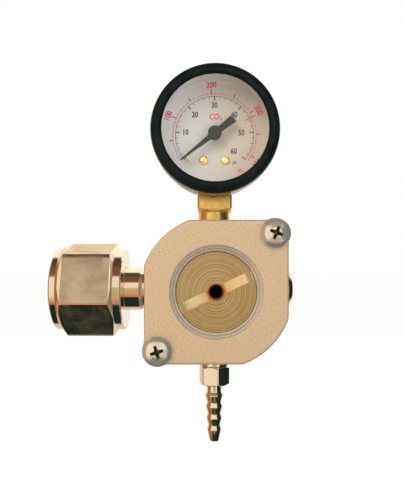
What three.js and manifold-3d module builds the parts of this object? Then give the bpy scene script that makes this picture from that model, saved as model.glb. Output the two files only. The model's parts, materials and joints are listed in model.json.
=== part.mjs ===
// Carbon dioxide regulator for draught beer and home brewing.
// Millimetres, +X right, +Y away from the viewer, +Z up. The adjusting screw faces -Y.
// The origin is the centre of the inlet washer's outer face, on the axis of the cylinder nut.
import * as THREE from 'three';
import { mergeVertices } from 'three/addons/utils/BufferGeometryUtils.js';
import Module from 'manifold-3d';

const wasm = await Module();
wasm.setup();

// ---------------------------------------------------------------- driving dimensions
// Clearances
const faceGap = 0.05; // between faces that rest on each other
const threadGap = 0.15; // radial, between a plain male thread and its hole
const runGap = 0.08; // radial, between a pivot and its hole
const looseGap = 0.3; // between pieces that never touch but lie close
const chamferInset = 0.15; // turned chamfer's small end inside the flats

// Layout
const reach = 41.3; // inlet washer's outer face to the body's centre line

// Body block and bonnet, which share one outline
const blockHalf = 21.7; // half the width and half the height
const roundBulge = 1.4; // how far the two corners with no screw round off outside the half width
const screwInset = 4.3; // cover screw's axis in from each side
const earRadius = 4.9; // corner radius round each cover screw
const portWall = 1.45; // inlet port to the low-pressure chamber
const bodyBack = 10; // back face behind the port axes
const bonnetDepth = 17;
const castBevel = 0.6;

// Cover screws
const coverScrewRadius = 2.0;
const coverHeadRadius = 4.55;
const coverHeadHeight = 2.6;
const coverScrewBite = 9; // length held in the body
const crossWidth = 1.1;
const crossSpan = 5.4;
const crossDepth = 1.5;
const coverScrewTurns = [22, -17]; // degrees that the two cross recesses are turned

// Adjusting screw
const screwRadius = 12.0;
const screwSunk = 1.2; // face below the bonnet's front
const screwFace = 3.2;
const screwSkirt = 8.3; // face to the open end
const screwWall = 2.4;
const slotWidth = 3.0;
const slotLength = 20.5;
const slotDepth = 1.9;
const slotTurn = 25; // degrees, right end up
const ventRadius = 1.95;
const ventChamfer = 0.5;
const mouthChamfer = 1.85; // countersink of the bonnet's thread

// Range spring and diaphragm
const thrustThickness = 0.8;
const thrustHole = 4.2;
const rangeWire = 1.5;
const rangeTurns = 3.4;
const rangeSlack = 0.5; // spring to the screw's inside wall
const bonnetLand = 3.1; // side of the block to the diaphragm's edge
const diaphragmThickness = 0.9;
const slipThickness = 0.4;
const slipWidth = 4.1;
const plateRoom = 2.0; // diaphragm plate's edge to the chamber's wall
const plateThickness = 1.3;
const plateBoss = 1.6;
const skirtRoom = 2.6; // depth of the wider space in front of the slip ring

// Low-pressure chamber and its passages
const chamberDepth = 2.0;
const passageRadius = 1.3;
const passageInset = 1.0; // passage in from the chamber's wall

// High-pressure bore, valve seat and poppet
const boreRadius = 5.0;
const backWall = 3.5;
const feedRadius = 1.6;
const nozzleThread = 3.5;
const nozzleFlange = 0.75;
const nozzleFlangeWidth = 0.8;
const lipHeight = 0.4;
const lipRadius = 2.0;
const seatHole = 1.2;
const pinRadius = 0.7;
const seatDiscRadius = 2.6;
const seatDiscThickness = 0.9;
const poppetLength = 5.5;
const poppetSlack = 0.4;
const poppetBossRadius = 1.3;
const poppetBossLength = 1.2;
const poppetWire = 0.5;
const poppetTurns = 4.5;

// Inlet: nut, nipple, washer and filter
const nutFlats = 28.575; // 1 1/8 inch across flats
const nutLength = 23.3;
const nutOverhang = 12.5; // nut's mouth beyond the washer's face
const nutThreadRadius = 9.9;
const nutRingDrop = 0.3875; // turned rings below the flats
const nutRingOuter = 2.2;
const nutRingInner = 2.7;
const nutConeLength = 2.0;
const nutInnerCone = 1.1;
const nutEdge = 0.4;
const nutTurn = 14.9; // degrees that the front flat looks up
const nippleRadius = 7.25;
const nippleFlangeRadius = 9.2;
const nippleFlange = 2.5;
const nippleBore = 3.0;
const nippleNeckStep = 0.05; // neck over the port's thread
const nippleNeck = 2.6;
const nippleCone = 1.2;
const washerThickness = 1.5;
const washerRadius = 9.0;
const washerHole = 4.4;
const inletPort = 6.55;
const filterLength = 6;
const filterRadius = 3.7;

// Relief valve
const reliefPort = 4.6;
const reliefHeadRadius = 6.9;
const reliefHead = 4.7;
const reliefDome = 1.5;
const reliefBore = 2.9;
const reliefSeat = 1.1;
const reliefFloor = 2.0;
const reliefPoppetLength = 2.3;
const reliefBossRadius = 1.1;
const reliefBossLength = 1.5;
const reliefWire = 0.55;
const reliefTurns = 4.5;
const reliefCapLength = 3.0;
const reliefCapSunk = 0.7;
const reliefVent = 0.8;

// Outlet hose barb
const outletPort = 4.6;
const barbCollarRadius = 5.1;
const barbCollar = 4.9;
const barbFlats = 9.5;
const barbHex = 6.3;
const barbChamfer = 0.5;
const barbTurn = -17.5; // degrees that one flat is turned from the front
const barbNeckRadius = 2.6;
const barbNeck = 3.8;
const barbRidges = 4;
const barbPitch = 3.95;
const barbFirstRadius = 3.2;
const barbLastRadius = 2.55;
const barbStep = 0.65; // each ridge stands this far above its foot
const barbTipRadius = 1.7;
const barbBore = 1.1;

// Gauge socket
const gaugePort = 5.0;
const socketShoulder = 4.45; // body's top to the square block
const socketFlats = 11.5;
const socketBlock = 5.7;
const socketChamfer = 1.3;
const socketCrown = 0.3; // block's top to the case
const socketNeckRadius = 5.4;
const socketStemRadius = 3.4;
const socketInnerHalf = 4.0;
const socketInnerHeight = 5.6;
const socketInnerFront = 2.2; // inner block's front, in front of the port axes
const socketBore = 1.2;
const socketRoof = 0.4;
const socketFeed = 0.45;

// Gauge case, bezel, lens and dial
const caseRadius = 20.0;
const caseBack = 5.2; // outer back behind the port axes
const caseRim = 11.5; // open rim in front of the port axes
const caseWall = 0.9;
const caseCorner = 1.6;
const bezelWall = 1.0; // bezel's edge outside the case
const bezelLand = 2.75; // window's edge inside the case's outer radius
const bezelSkirt = 7.0; // skirt's edge in front of the port axes
const lensThickness = 1.6;
const bezelLip = 1.3;
const gasketThickness = 0.5;
const gasketWidth = 1.3;
const dialThickness = 0.5;
const dialFront = 4.1;
const dialRim = 0.5; // thickness of the dial's upturned edge
const dialRimFront = 11.3;
const dialSlack = 0.5;
const dialScrewX = 3.6;
const dialScrewDrop = 8.3;
const dialScrewHead = 1.5;
const dialScrewDome = 0.8;
const dialScrewRadius = 0.8;
const stopPinRadius = 0.4;
const stopPinHeight = 3.6;
const stopPinReach = 12.1;

// Pointer and movement
const zeroAngle = -128; // degrees from straight up, clockwise positive
const pointerStand = 2.9; // blade in front of the dial
const pointerThickness = 0.4;
const needleLength = 14.3;
const needleHalfWidth = 0.95;
const needleTip = 0.15;
const hubRadius = 2.26;
const hubHeight = 1.0;
const tailLength = 8.4;
const tailHalfWidth = 1.25;
const tailNotch = 0.9;
const arborRadius = 0.75;
const pinionTeeth = 10;
const sectorRatio = 6;
const sectorRoom = 0.82; // sector's tail to the socket
const sectorSweep = 43; // degrees for the whole scale
const sectorMargin = 7; // degrees of teeth beyond each end
const sectorThickness = 0.8;
const pinionThickness = 1.8;
const toothShare = 0.38; // tooth's share of the pitch
const sectorRim = 1.3;
const sectorHub = 1.5;
const sectorArborRadius = 0.6;
const tailArm = 6.0;
const tailAngle = -20; // degrees above +X
const tailPad = 0.9;
const linkWidth = 1.3;
const linkThickness = 0.4;
const linkPinRadius = 0.35;
const movementPlate = 0.8;
const movementFront = 3.3; // front plate's front, in front of the port axes
const movementBack = 2.2; // back plate's front, behind the port axes
const movementHalf = 7.4;
const movementTop = 4.6;
const plateFoot = 3; // front plate's edge below the sector's pivot
const pillarRadius = 1.1;
const pillarX = 6.0;
const pillarZ = 2.5;
const hairInner = 1.05;
const hairOuter = 3.6;
const hairTurns = 3;
const hairBand = 0.12;
const hairHeight = 0.5;
const hairY = 1.4;

// Bourdon tube
const tubeRoom = 4.6; // case's inner wall to the tube's middle
const tubeThickness = 1.8;
const tubeHeight = 4.0;
const tubeWall = 0.35;
const tubeEnd = -8; // degrees, at the tip
const tipSpan = 8; // degrees
const tipWall = 0.35;
const tipLug = 0.8;
const caseScrewX = 2.4;
const caseScrewHead = 1.7;
const caseScrewDome = 0.9;
const caseScrewRadius = 1.0;

// ---------------------------------------------------------------- derived places
const radians = THREE.MathUtils.degToRad;
const degrees = THREE.MathUtils.radToDeg;
const blockRound = blockHalf + roundBulge;
const bodyFront = inletPort + portWall + chamberDepth;
const diaphragmRadius = blockHalf - bonnetLand;
const chamberRadius = diaphragmRadius - slipWidth;
const plateRadius = chamberRadius - plateRoom;
const gaugeRise = blockHalf + faceGap + socketShoulder + socketBlock + socketCrown + caseRadius;
const jointY = -bodyFront;
const bonnetY = jointY - faceGap;
const frontY = jointY - bonnetDepth;
const coverScrewPlace = blockHalf - screwInset;
const chamberFloor = jointY + chamberDepth;
const boreEnd = bodyBack - backWall;
const passagePlace = chamberRadius - passageRadius - passageInset;
const portFloor = passagePlace - passageRadius;
const diaphragmBack = jointY - faceGap;
const diaphragmFace = diaphragmBack - diaphragmThickness;
const slipBack = diaphragmFace - faceGap;
const slipFace = slipBack - slipThickness;
const recessFloor = slipFace - faceGap;
const flareFloor = recessFloor - skirtRoom;
const plateBack = diaphragmFace - faceGap;
const plateFace = plateBack - plateThickness;
const screwFaceY = frontY + screwSunk;
const screwInnerY = screwFaceY + screwFace;
const thrustFace = screwInnerY + faceGap;
const thrustBack = thrustFace + thrustThickness;
const screwInside = screwRadius - screwWall;
const rangeRadius = screwInside - rangeSlack - rangeWire / 2;
const threadHole = screwRadius + threadGap;
const mouthRadius = threadHole + mouthChamfer;
const nozzleEnd = chamberFloor + nozzleThread;
const lipEnd = nozzleEnd + lipHeight;
const seatDiscFace = lipEnd + faceGap;
const poppetFace = seatDiscFace + seatDiscThickness + faceGap;
const poppetEnd = poppetFace + poppetLength;
const nutMouthX = -reach - nutOverhang;
const nutEndX = nutMouthX + nutLength;
const sealX = -reach + washerThickness;
const flangeFaceX = sealX + faceGap;
const flangeEndX = flangeFaceX + nippleFlange;
const nutShoulderX = flangeEndX + looseGap;
const nutHole = nippleRadius + threadGap;
const nutRingRadius = nutFlats / 2 - nutRingDrop;
const nippleNeckRadius = inletPort + nippleNeckStep;
const bodySideX = -blockHalf - faceGap;
const caseInner = caseRadius - caseWall;
const bezelRadius = caseRadius + bezelWall;
const windowRadius = caseRadius - bezelLand;
const tubeRadius = caseInner - tubeRoom;
const caseSocketTop = gaugeRise - caseRadius - socketCrown;
const socketInnerEnd = looseGap - Math.sqrt(caseInner ** 2 - socketInnerHalf ** 2);
const socketInnerTop = socketInnerEnd + socketInnerHeight;
const caseScrewZ = (socketInnerTop + socketInnerEnd) / 2;
const tailDrop = tailPad - tailArm * Math.sin(radians(tailAngle));
const gearDistance = -socketInnerTop - tailDrop - sectorRoom;
const movementFoot = gearDistance + plateFoot;
const tubeStartX = socketInnerHalf + looseGap;
const tubeStart = 180 + degrees(Math.acos(tubeStartX / (tubeRadius - tubeThickness / 2)));
const gearPitchPinion = gearDistance / (sectorRatio + 1);
const gearPitchSector = gearDistance - gearPitchPinion;
const gearModule = (2 * gearPitchPinion) / pinionTeeth;

// ---------------------------------------------------------------- shape helpers
// Makes a closed geometry face outwards by turning every triangle round when its volume is negative.
function outward(geometry) {
  const bare = geometry.clone();
  bare.deleteAttribute('normal');
  bare.deleteAttribute('uv');
  const merged = mergeVertices(bare, 1e-5);
  const place = merged.attributes.position;
  const index = merged.index.array;
  const a = new THREE.Vector3();
  const b = new THREE.Vector3();
  const c = new THREE.Vector3();
  let volume = 0;
  for (let i = 0; i < index.length; i += 3) {
    a.fromBufferAttribute(place, index[i]);
    b.fromBufferAttribute(place, index[i + 1]);
    c.fromBufferAttribute(place, index[i + 2]);
    volume += a.dot(b.cross(c));
  }
  if (volume < 0) {
    for (let i = 0; i < index.length; i += 3) {
      const kept = index[i];
      index[i] = index[i + 1];
      index[i + 1] = kept;
    }
  }
  return merged;
}

function toSolid(geometry) {
  const closed = outward(geometry);
  const vertProperties = Float32Array.from(closed.attributes.position.array);
  const triVerts = Uint32Array.from(closed.index.array);
  return new wasm.Manifold(new wasm.Mesh({ numProp: 3, vertProperties, triVerts }));
}

function toGeometry(solid) {
  const mesh = solid.getMesh();
  const geometry = new THREE.BufferGeometry();
  geometry.setAttribute('position', new THREE.BufferAttribute(mesh.vertProperties, 3));
  geometry.setIndex(new THREE.BufferAttribute(mesh.triVerts, 1));
  geometry.computeVertexNormals();
  return geometry;
}

// Turns a shape made along +Y so that it runs along the named axis.
function along(geometry, axis) {
  if (axis === 'x') geometry.rotateZ(-Math.PI / 2);
  if (axis === 'z') geometry.rotateX(Math.PI / 2);
  return geometry;
}

// A turned solid: the profile is a list of [radius, place along the axis].
function turned(profile, axis, segments = 28) {
  const points = profile.map(([radius, place]) => new THREE.Vector2(radius, place));
  return toSolid(along(new THREE.LatheGeometry(points, segments), axis));
}

function rod(radius, from, to, axis, segments = 18) {
  return turned([[0, from], [radius, from], [radius, to], [0, to]], axis, segments);
}

function ring(inner, outer, from, to, axis, segments = 28) {
  const profile = [[inner, from], [outer, from], [outer, to], [inner, to], [inner, from]];
  return turned(profile, axis, segments);
}

// A slab with its outline in the XZ plane, from yFront to yBack.
function slab(outline, yFront, yBack, curveSegments = 5, bevel = 0) {
  const depth = yBack - yFront - 2 * bevel;
  const options = { depth, curveSegments, bevelEnabled: bevel > 0 };
  options.bevelThickness = bevel;
  options.bevelSize = bevel;
  options.bevelOffset = -bevel;
  options.bevelSegments = 1;
  const geometry = new THREE.ExtrudeGeometry(outline, options);
  geometry.rotateX(Math.PI / 2);
  geometry.translate(0, yBack - bevel, 0);
  return toSolid(geometry);
}

function block(xLow, xHigh, yLow, yHigh, zLow, zHigh) {
  const geometry = new THREE.BoxGeometry(xHigh - xLow, yHigh - yLow, zHigh - zLow);
  geometry.translate((xLow + xHigh) / 2, (yLow + yHigh) / 2, (zLow + zHigh) / 2);
  return toSolid(geometry);
}

function polygon(count, flats) {
  const outline = new THREE.Shape();
  const corner = flats / 2 / Math.cos(Math.PI / count);
  for (let i = 0; i < count; i += 1) {
    const angle = ((i + 0.5) * 2 * Math.PI) / count;
    const place = [corner * Math.cos(angle), corner * Math.sin(angle)];
    if (i === 0) outline.moveTo(...place);
    else outline.lineTo(...place);
  }
  outline.closePath();
  return outline;
}

// A helix about +Y from one place to another.
class Helix extends THREE.Curve {
  constructor(radius, from, to, turns) {
    super();
    this.radius = radius;
    this.from = from;
    this.to = to;
    this.turns = turns;
  }

  getPoint(t, target = new THREE.Vector3()) {
    const angle = 2 * Math.PI * this.turns * t;
    const y = this.from + (this.to - this.from) * t;
    return target.set(this.radius * Math.cos(angle), y, this.radius * Math.sin(angle));
  }
}

function coil(radius, wire, from, to, turns, axis, stepsPerTurn = 12) {
  const section = new THREE.Shape();
  section.absarc(0, 0, wire / 2, 0, 2 * Math.PI);
  const extrudePath = new Helix(radius, from + wire / 2, to - wire / 2, turns);
  const steps = Math.round(turns * stepsPerTurn);
  const curveSegments = 3;
  const geometry = new THREE.ExtrudeGeometry(section, { extrudePath, steps, curveSegments });
  return toSolid(along(geometry, axis));
}

const finishes = {
  nickel: { color: 0xcfc5b0, metalness: 1, roughness: 0.22 },
  satinNickel: { color: 0xd6be9b, metalness: 0.9, roughness: 0.55 },
  brass: { color: 0xc9a45c, metalness: 1, roughness: 0.35 },
  turnedBrass: { color: 0xc8ab72, metalness: 1, roughness: 0.3 },
  steel: { color: 0xb9b8b2, metalness: 1, roughness: 0.35 },
  black: { color: 0x0b0d0c, metalness: 0.1, roughness: 0.2 },
  caseGold: { color: 0xcdb88e, metalness: 0.8, roughness: 0.4 },
  dial: { color: 0xf1ece0, metalness: 0, roughness: 0.5 },
  lens: { color: 0xf4f7f4, metalness: 0, roughness: 0.05 },
  rubber: { color: 0x26231f, metalness: 0, roughness: 0.8 },
  fibre: { color: 0xa5482f, metalness: 0, roughness: 0.8 },
  nylon: { color: 0xe8e4d6, metalness: 0, roughness: 0.5 },
  bronze: { color: 0x9a6b3c, metalness: 0.9, roughness: 0.8 },
};

function piece(name, solid, finish) {
  const material = new THREE.MeshStandardMaterial(finishes[finish]);
  const mesh = new THREE.Mesh(toGeometry(solid), material);
  mesh.name = name;
  return mesh;
}

// ---------------------------------------------------------------- body and bonnet
// A square with two corners rounded about the centre and two ears round the cover screws.
function blockOutline() {
  const side = blockHalf;
  const round = Math.sqrt(blockRound ** 2 - side ** 2);
  const turn = Math.asin(round / blockRound);
  const ear = Math.acos((side - coverScrewPlace) / earRadius);
  const outline = new THREE.Shape();
  outline.moveTo(side, -round);
  outline.absarc(coverScrewPlace, coverScrewPlace, earRadius, -ear, Math.PI / 2 + ear);
  outline.absarc(0, 0, blockRound, Math.PI / 2 + turn, Math.PI - turn);
  outline.absarc(-coverScrewPlace, -coverScrewPlace, earRadius, Math.PI - ear, 1.5 * Math.PI + ear);
  outline.absarc(0, 0, blockRound, 1.5 * Math.PI + turn, 2 * Math.PI - turn);
  return outline;
}

const coverScrewPlaces = [
  [coverScrewPlace, coverScrewPlace],
  [-coverScrewPlace, -coverScrewPlace],
];

function bodyPiece() {
  let solid = slab(blockOutline(), jointY, bodyBack, 5, castBevel);
  const cuts = [
    rod(chamberRadius, jointY - 1, chamberFloor, 'y', 32),
    rod(boreRadius, jointY, boreEnd, 'y', 24),
    rod(inletPort, -blockHalf - 1, -portFloor, 'x', 24),
    rod(feedRadius, -portFloor - 1, -boreRadius + 1, 'x', 12),
    rod(reliefPort, portFloor, blockHalf + 1, 'x', 20),
    rod(gaugePort, portFloor, blockHalf + 1, 'z', 20),
    rod(outletPort, -blockHalf - 1, -portFloor, 'z', 20),
  ];
  for (const [x, z] of [[passagePlace, 0], [0, passagePlace], [0, -passagePlace]]) {
    cuts.push(rod(passageRadius, jointY, 0, 'y', 12).translate([x, 0, z]));
  }
  const biteEnd = jointY + coverScrewBite + 1;
  for (const [x, z] of coverScrewPlaces) {
    cuts.push(rod(coverScrewRadius + threadGap, jointY - 1, biteEnd, 'y', 16).translate([x, 0, z]));
  }
  for (const cut of cuts) solid = solid.subtract(cut);
  return piece('body', solid, 'satinNickel');
}

function bonnetPiece() {
  let solid = slab(blockOutline(), frontY, bonnetY, 5, castBevel);
  const hollow = turned([
    [0, frontY - 1],
    [mouthRadius + 1, frontY - 1],
    [threadHole, frontY + mouthChamfer],
    [threadHole, flareFloor],
    [chamberRadius, flareFloor],
    [chamberRadius, recessFloor],
    [diaphragmRadius + looseGap, recessFloor],
    [diaphragmRadius + looseGap, bonnetY + 1],
    [0, bonnetY + 1],
  ], 'y', 40);
  solid = solid.subtract(hollow);
  for (const [x, z] of coverScrewPlaces) {
    const hole = rod(coverScrewRadius + threadGap, frontY - 1, bonnetY + 1, 'y', 16);
    solid = solid.subtract(hole.translate([x, 0, z]));
  }
  return piece('bonnet', solid, 'satinNickel');
}

// A pan-head screw along Y with a cross recess, its head's underside at Y = 0.
function coverScrew(name, turn) {
  const length = bonnetDepth + faceGap + coverScrewBite;
  let solid = turned([
    [0, -coverHeadHeight],
    [coverHeadRadius * 0.45, -coverHeadHeight * 0.97],
    [coverHeadRadius * 0.8, -coverHeadHeight * 0.75],
    [coverHeadRadius, -coverHeadHeight * 0.3],
    [coverHeadRadius, 0],
    [coverScrewRadius, 0],
    [coverScrewRadius, length - coverScrewRadius],
    [coverScrewRadius / 2, length],
    [0, length],
  ], 'y', 20);
  const half = crossWidth / 2;
  const top = -coverHeadHeight - 1;
  const floor = -coverHeadHeight + crossDepth;
  const bar = block(-crossSpan / 2, crossSpan / 2, top, floor, -half, half);
  const cross = bar.add(block(-half, half, top, floor, -crossSpan / 2, crossSpan / 2));
  solid = solid.subtract(cross.rotate([0, -turn, 0]));
  return piece(name, solid, 'steel');
}

function coverScrews() {
  const names = ['bonnet_screw_upper', 'bonnet_screw_lower'];
  return names.map((name, i) => {
    const screw = coverScrew(name, coverScrewTurns[i]);
    const [x, z] = coverScrewPlaces[i];
    screw.position.set(x, frontY - faceGap, z);
    return screw;
  });
}

// ---------------------------------------------------------------- adjusting screw and range spring
function adjustingScrew() {
  let solid = turned([
    [0, screwFaceY],
    [screwRadius - 0.4, screwFaceY],
    [screwRadius, screwFaceY + 0.4],
    [screwRadius, screwFaceY + screwSkirt],
    [screwInside, screwFaceY + screwSkirt],
    [screwInside, screwInnerY],
    [0, screwInnerY],
  ], 'y', 36);
  const vent = turned([
    [0, screwFaceY - 1],
    [ventRadius + ventChamfer + 1, screwFaceY - 1],
    [ventRadius, screwFaceY + ventChamfer],
    [ventRadius, screwInnerY + 1],
    [0, screwInnerY + 1],
  ], 'y', 20);
  // The slot is sunk by a cutting disc, so its floor is an arc that ends at full length at the face.
  const discRadius = ((slotLength / 2) ** 2 + slotDepth ** 2) / (2 * slotDepth);
  const disc = rod(discRadius, -slotWidth / 2, slotWidth / 2, 'z', 80);
  const slot = disc.translate([0, screwFaceY + slotDepth - discRadius, 0]).rotate([0, -slotTurn, 0]);
  solid = solid.subtract(vent).subtract(slot);
  return piece('adjusting_screw', solid, 'turnedBrass');
}

function thrustWasher() {
  const solid = ring(thrustHole, screwInside - rangeSlack, thrustFace, thrustBack, 'y');
  return piece('thrust_washer', solid, 'steel');
}

function rangeSpring() {
  const from = thrustBack + faceGap;
  const to = plateFace - faceGap;
  return piece('range_spring', coil(rangeRadius, rangeWire, from, to, rangeTurns, 'y'), 'steel');
}

function diaphragmStack() {
  const bossRadius = rangeRadius - rangeWire / 2 - rangeSlack;
  const plate = turned([
    [0, plateFace - plateBoss],
    [bossRadius - plateBoss, plateFace - plateBoss],
    [bossRadius, plateFace],
    [plateRadius, plateFace],
    [plateRadius, plateBack],
    [0, plateBack],
  ], 'y');
  const slipInner = diaphragmRadius - slipWidth;
  return [
    piece('diaphragm_plate', plate, 'brass'),
    piece('slip_ring', ring(slipInner, diaphragmRadius, slipFace, slipBack, 'y', 36), 'steel'),
    piece('diaphragm', rod(diaphragmRadius, diaphragmFace, diaphragmBack, 'y', 36), 'rubber'),
  ];
}

// ---------------------------------------------------------------- valve cartridge
function valvePieces() {
  const nozzle = turned([
    [seatHole, chamberFloor - faceGap - nozzleFlange],
    [boreRadius + nozzleFlangeWidth, chamberFloor - faceGap - nozzleFlange],
    [boreRadius + nozzleFlangeWidth, chamberFloor - faceGap],
    [boreRadius - threadGap, chamberFloor - faceGap],
    [boreRadius - threadGap, nozzleEnd],
    [lipRadius, nozzleEnd],
    [seatHole + 0.2, lipEnd],
    [seatHole, lipEnd],
    [seatHole, chamberFloor - faceGap - nozzleFlange],
  ], 'y', 20);
  const seatEnd = seatDiscFace + seatDiscThickness;
  const hexFlats = 2 * (boreRadius - poppetSlack) * Math.cos(Math.PI / 6);
  const pin = rod(pinRadius, diaphragmBack + faceGap, poppetFace - faceGap, 'y', 12);
  const seatDisc = ring(pinRadius + runGap, seatDiscRadius, seatDiscFace, seatEnd, 'y', 18);
  let poppet = slab(polygon(6, hexFlats), poppetFace, poppetEnd);
  poppet = poppet.add(rod(poppetBossRadius, poppetEnd - 1, poppetEnd + poppetBossLength, 'y', 16));
  const springRadius = poppetBossRadius + looseGap + poppetWire / 2;
  const springFrom = poppetEnd + faceGap;
  const spring = coil(springRadius, poppetWire, springFrom, boreEnd - faceGap, poppetTurns, 'y', 8);
  return [
    piece('seat_nozzle', nozzle, 'brass'),
    piece('valve_pin', pin, 'steel'),
    piece('poppet_seat', seatDisc, 'nylon'),
    piece('poppet', poppet, 'brass'),
    piece('poppet_spring', spring, 'steel'),
  ];
}

// ---------------------------------------------------------------- inlet
function inletNut() {
  const corner = nutFlats / 2 / Math.cos(Math.PI / 6);
  const ringEnd = nutMouthX + nutRingOuter;
  const collar = nutEndX - nutRingInner;
  const outside = turned([
    [0, nutMouthX],
    [nutRingRadius - nutEdge, nutMouthX],
    [nutRingRadius, nutMouthX + nutEdge],
    [nutRingRadius, ringEnd],
    [corner, ringEnd + nutConeLength],
    [corner, collar - nutInnerCone],
    [nutRingRadius, collar],
    [nutRingRadius, nutEndX - nutEdge],
    [nutRingRadius - nutEdge, nutEndX],
    [0, nutEndX],
  ], 'x', 36);
  const depth = nutLength + 2;
  const prism = new THREE.ExtrudeGeometry(polygon(6, nutFlats), { depth, bevelEnabled: false });
  prism.rotateZ(Math.PI / 2);
  prism.rotateY(Math.PI / 2);
  prism.translate(nutMouthX - 1, 0, 0);
  const inside = turned([
    [0, nutMouthX - 1],
    [nutThreadRadius + 1.6, nutMouthX - 1],
    [nutThreadRadius, nutMouthX + 0.8],
    [nutThreadRadius, nutShoulderX],
    [nutHole, nutShoulderX],
    [nutHole, nutEndX + 1],
    [0, nutEndX + 1],
  ], 'x', 24);
  const solid = outside.intersect(toSolid(prism)).subtract(inside);
  const nut = piece('inlet_nut', solid, 'nickel');
  nut.rotation.x = radians(-nutTurn);
  return nut;
}

function inletPieces() {
  const neckX = bodySideX - nippleNeck;
  const shankRadius = inletPort - threadGap;
  const nipple = turned([
    [nippleBore, flangeFaceX],
    [nippleFlangeRadius - 0.5, flangeFaceX],
    [nippleFlangeRadius, flangeFaceX + 0.5],
    [nippleFlangeRadius, flangeEndX],
    [nippleRadius, flangeEndX],
    [nippleRadius, neckX - nippleCone],
    [nippleNeckRadius, neckX],
    [nippleNeckRadius, bodySideX],
    [shankRadius, bodySideX],
    [shankRadius, -portFloor - looseGap],
    [nippleBore, -portFloor - looseGap],
    [nippleBore, flangeFaceX],
  ], 'x', 24);
  const pocketEnd = flangeFaceX + filterLength + looseGap;
  const pocket = rod(filterRadius + runGap, flangeFaceX - 1, pocketEnd, 'x');
  const filterFrom = flangeFaceX + looseGap;
  const filterTo = filterFrom + filterLength - faceGap;
  return [
    piece('inlet_nipple', nipple.subtract(pocket), 'nickel'),
    piece('inlet_washer', ring(washerHole, washerRadius, -reach, sealX, 'x'), 'fibre'),
    piece('inlet_filter', rod(filterRadius, filterFrom, filterTo, 'x'), 'bronze'),
  ];
}

// ---------------------------------------------------------------- relief valve
function reliefPieces() {
  const side = blockHalf + faceGap;
  const end = side + reliefHead;
  const start = portFloor + looseGap;
  const floor = start + reliefFloor;
  const thread = reliefPort - threadGap;
  const housing = turned([
    [reliefSeat, start],
    [thread, start],
    [thread, side],
    [reliefHeadRadius, side],
    [reliefHeadRadius, end - reliefDome],
    [reliefHeadRadius - reliefDome / 3, end - reliefDome / 3],
    [reliefHeadRadius - reliefDome, end],
    [reliefBore, end],
    [reliefBore, floor],
    [reliefSeat, floor],
    [reliefSeat, start],
  ], 'x', 24);
  const poppetFrom = floor + faceGap;
  const poppetTo = poppetFrom + reliefPoppetLength;
  const poppet = turned([
    [0, poppetFrom],
    [reliefBore - looseGap, poppetFrom],
    [reliefBore - looseGap, poppetTo],
    [reliefBossRadius, poppetTo],
    [reliefBossRadius, poppetTo + reliefBossLength],
    [0, poppetTo + reliefBossLength],
  ], 'x', 20);
  const capTo = end - reliefCapSunk;
  const capFrom = capTo - reliefCapLength;
  const springRadius = reliefBossRadius + looseGap + reliefWire / 2;
  const springFrom = poppetTo + faceGap;
  const spring = coil(springRadius, reliefWire, springFrom, capFrom - faceGap, reliefTurns, 'x', 8);
  const cap = ring(reliefVent, reliefBore - threadGap, capFrom, capTo, 'x', 18);
  return [
    piece('relief_housing', housing, 'nickel'),
    piece('relief_poppet', poppet, 'brass'),
    piece('relief_spring', spring, 'steel'),
    piece('relief_cap', cap, 'brass'),
  ];
}

// ---------------------------------------------------------------- outlet hose barb
function hoseBarb() {
  const top = -blockHalf - faceGap;
  const hexTop = top - barbCollar;
  const hexEnd = hexTop - barbHex;
  const profile = [[barbBore, -portFloor - looseGap]];
  const thread = outletPort - threadGap;
  profile.push([thread, -portFloor - looseGap], [thread, top]);
  profile.push([barbCollarRadius, top], [barbCollarRadius, hexTop + 0.2]);
  profile.push([barbNeckRadius, hexTop + 0.2], [barbNeckRadius, hexEnd - barbNeck + 0.7]);
  for (let i = 0; i < barbRidges; i += 1) {
    const share = i / (barbRidges - 1);
    const radius = barbFirstRadius + (barbLastRadius - barbFirstRadius) * share;
    const place = hexEnd - barbNeck - i * barbPitch;
    const last = i === barbRidges - 1;
    profile.push([radius, place], [radius, place - 0.35]);
    profile.push([last ? barbTipRadius : radius - barbStep, place - barbPitch + (last ? 0 : 0.5)]);
  }
  const tip = hexEnd - barbNeck - barbRidges * barbPitch;
  profile.push([barbBore, tip], [barbBore, -portFloor - looseGap]);
  const stem = turned(profile, 'z', 16);
  const corner = barbFlats / 2 / Math.cos(Math.PI / 6);
  const hex = new THREE.ExtrudeGeometry(polygon(6, barbFlats), { depth: barbHex, bevelEnabled: false });
  hex.rotateZ(radians(barbTurn));
  hex.translate(0, 0, hexEnd);
  const chamfers = turned([
    [barbBore, hexEnd],
    [barbFlats / 2 - chamferInset, hexEnd],
    [corner, hexEnd + barbChamfer],
    [corner, hexTop - barbChamfer],
    [barbFlats / 2 - chamferInset, hexTop],
    [barbBore, hexTop],
    [barbBore, hexEnd],
  ], 'z', 24);
  return piece('hose_barb', stem.add(toSolid(hex).intersect(chamfers)), 'nickel');
}

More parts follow.
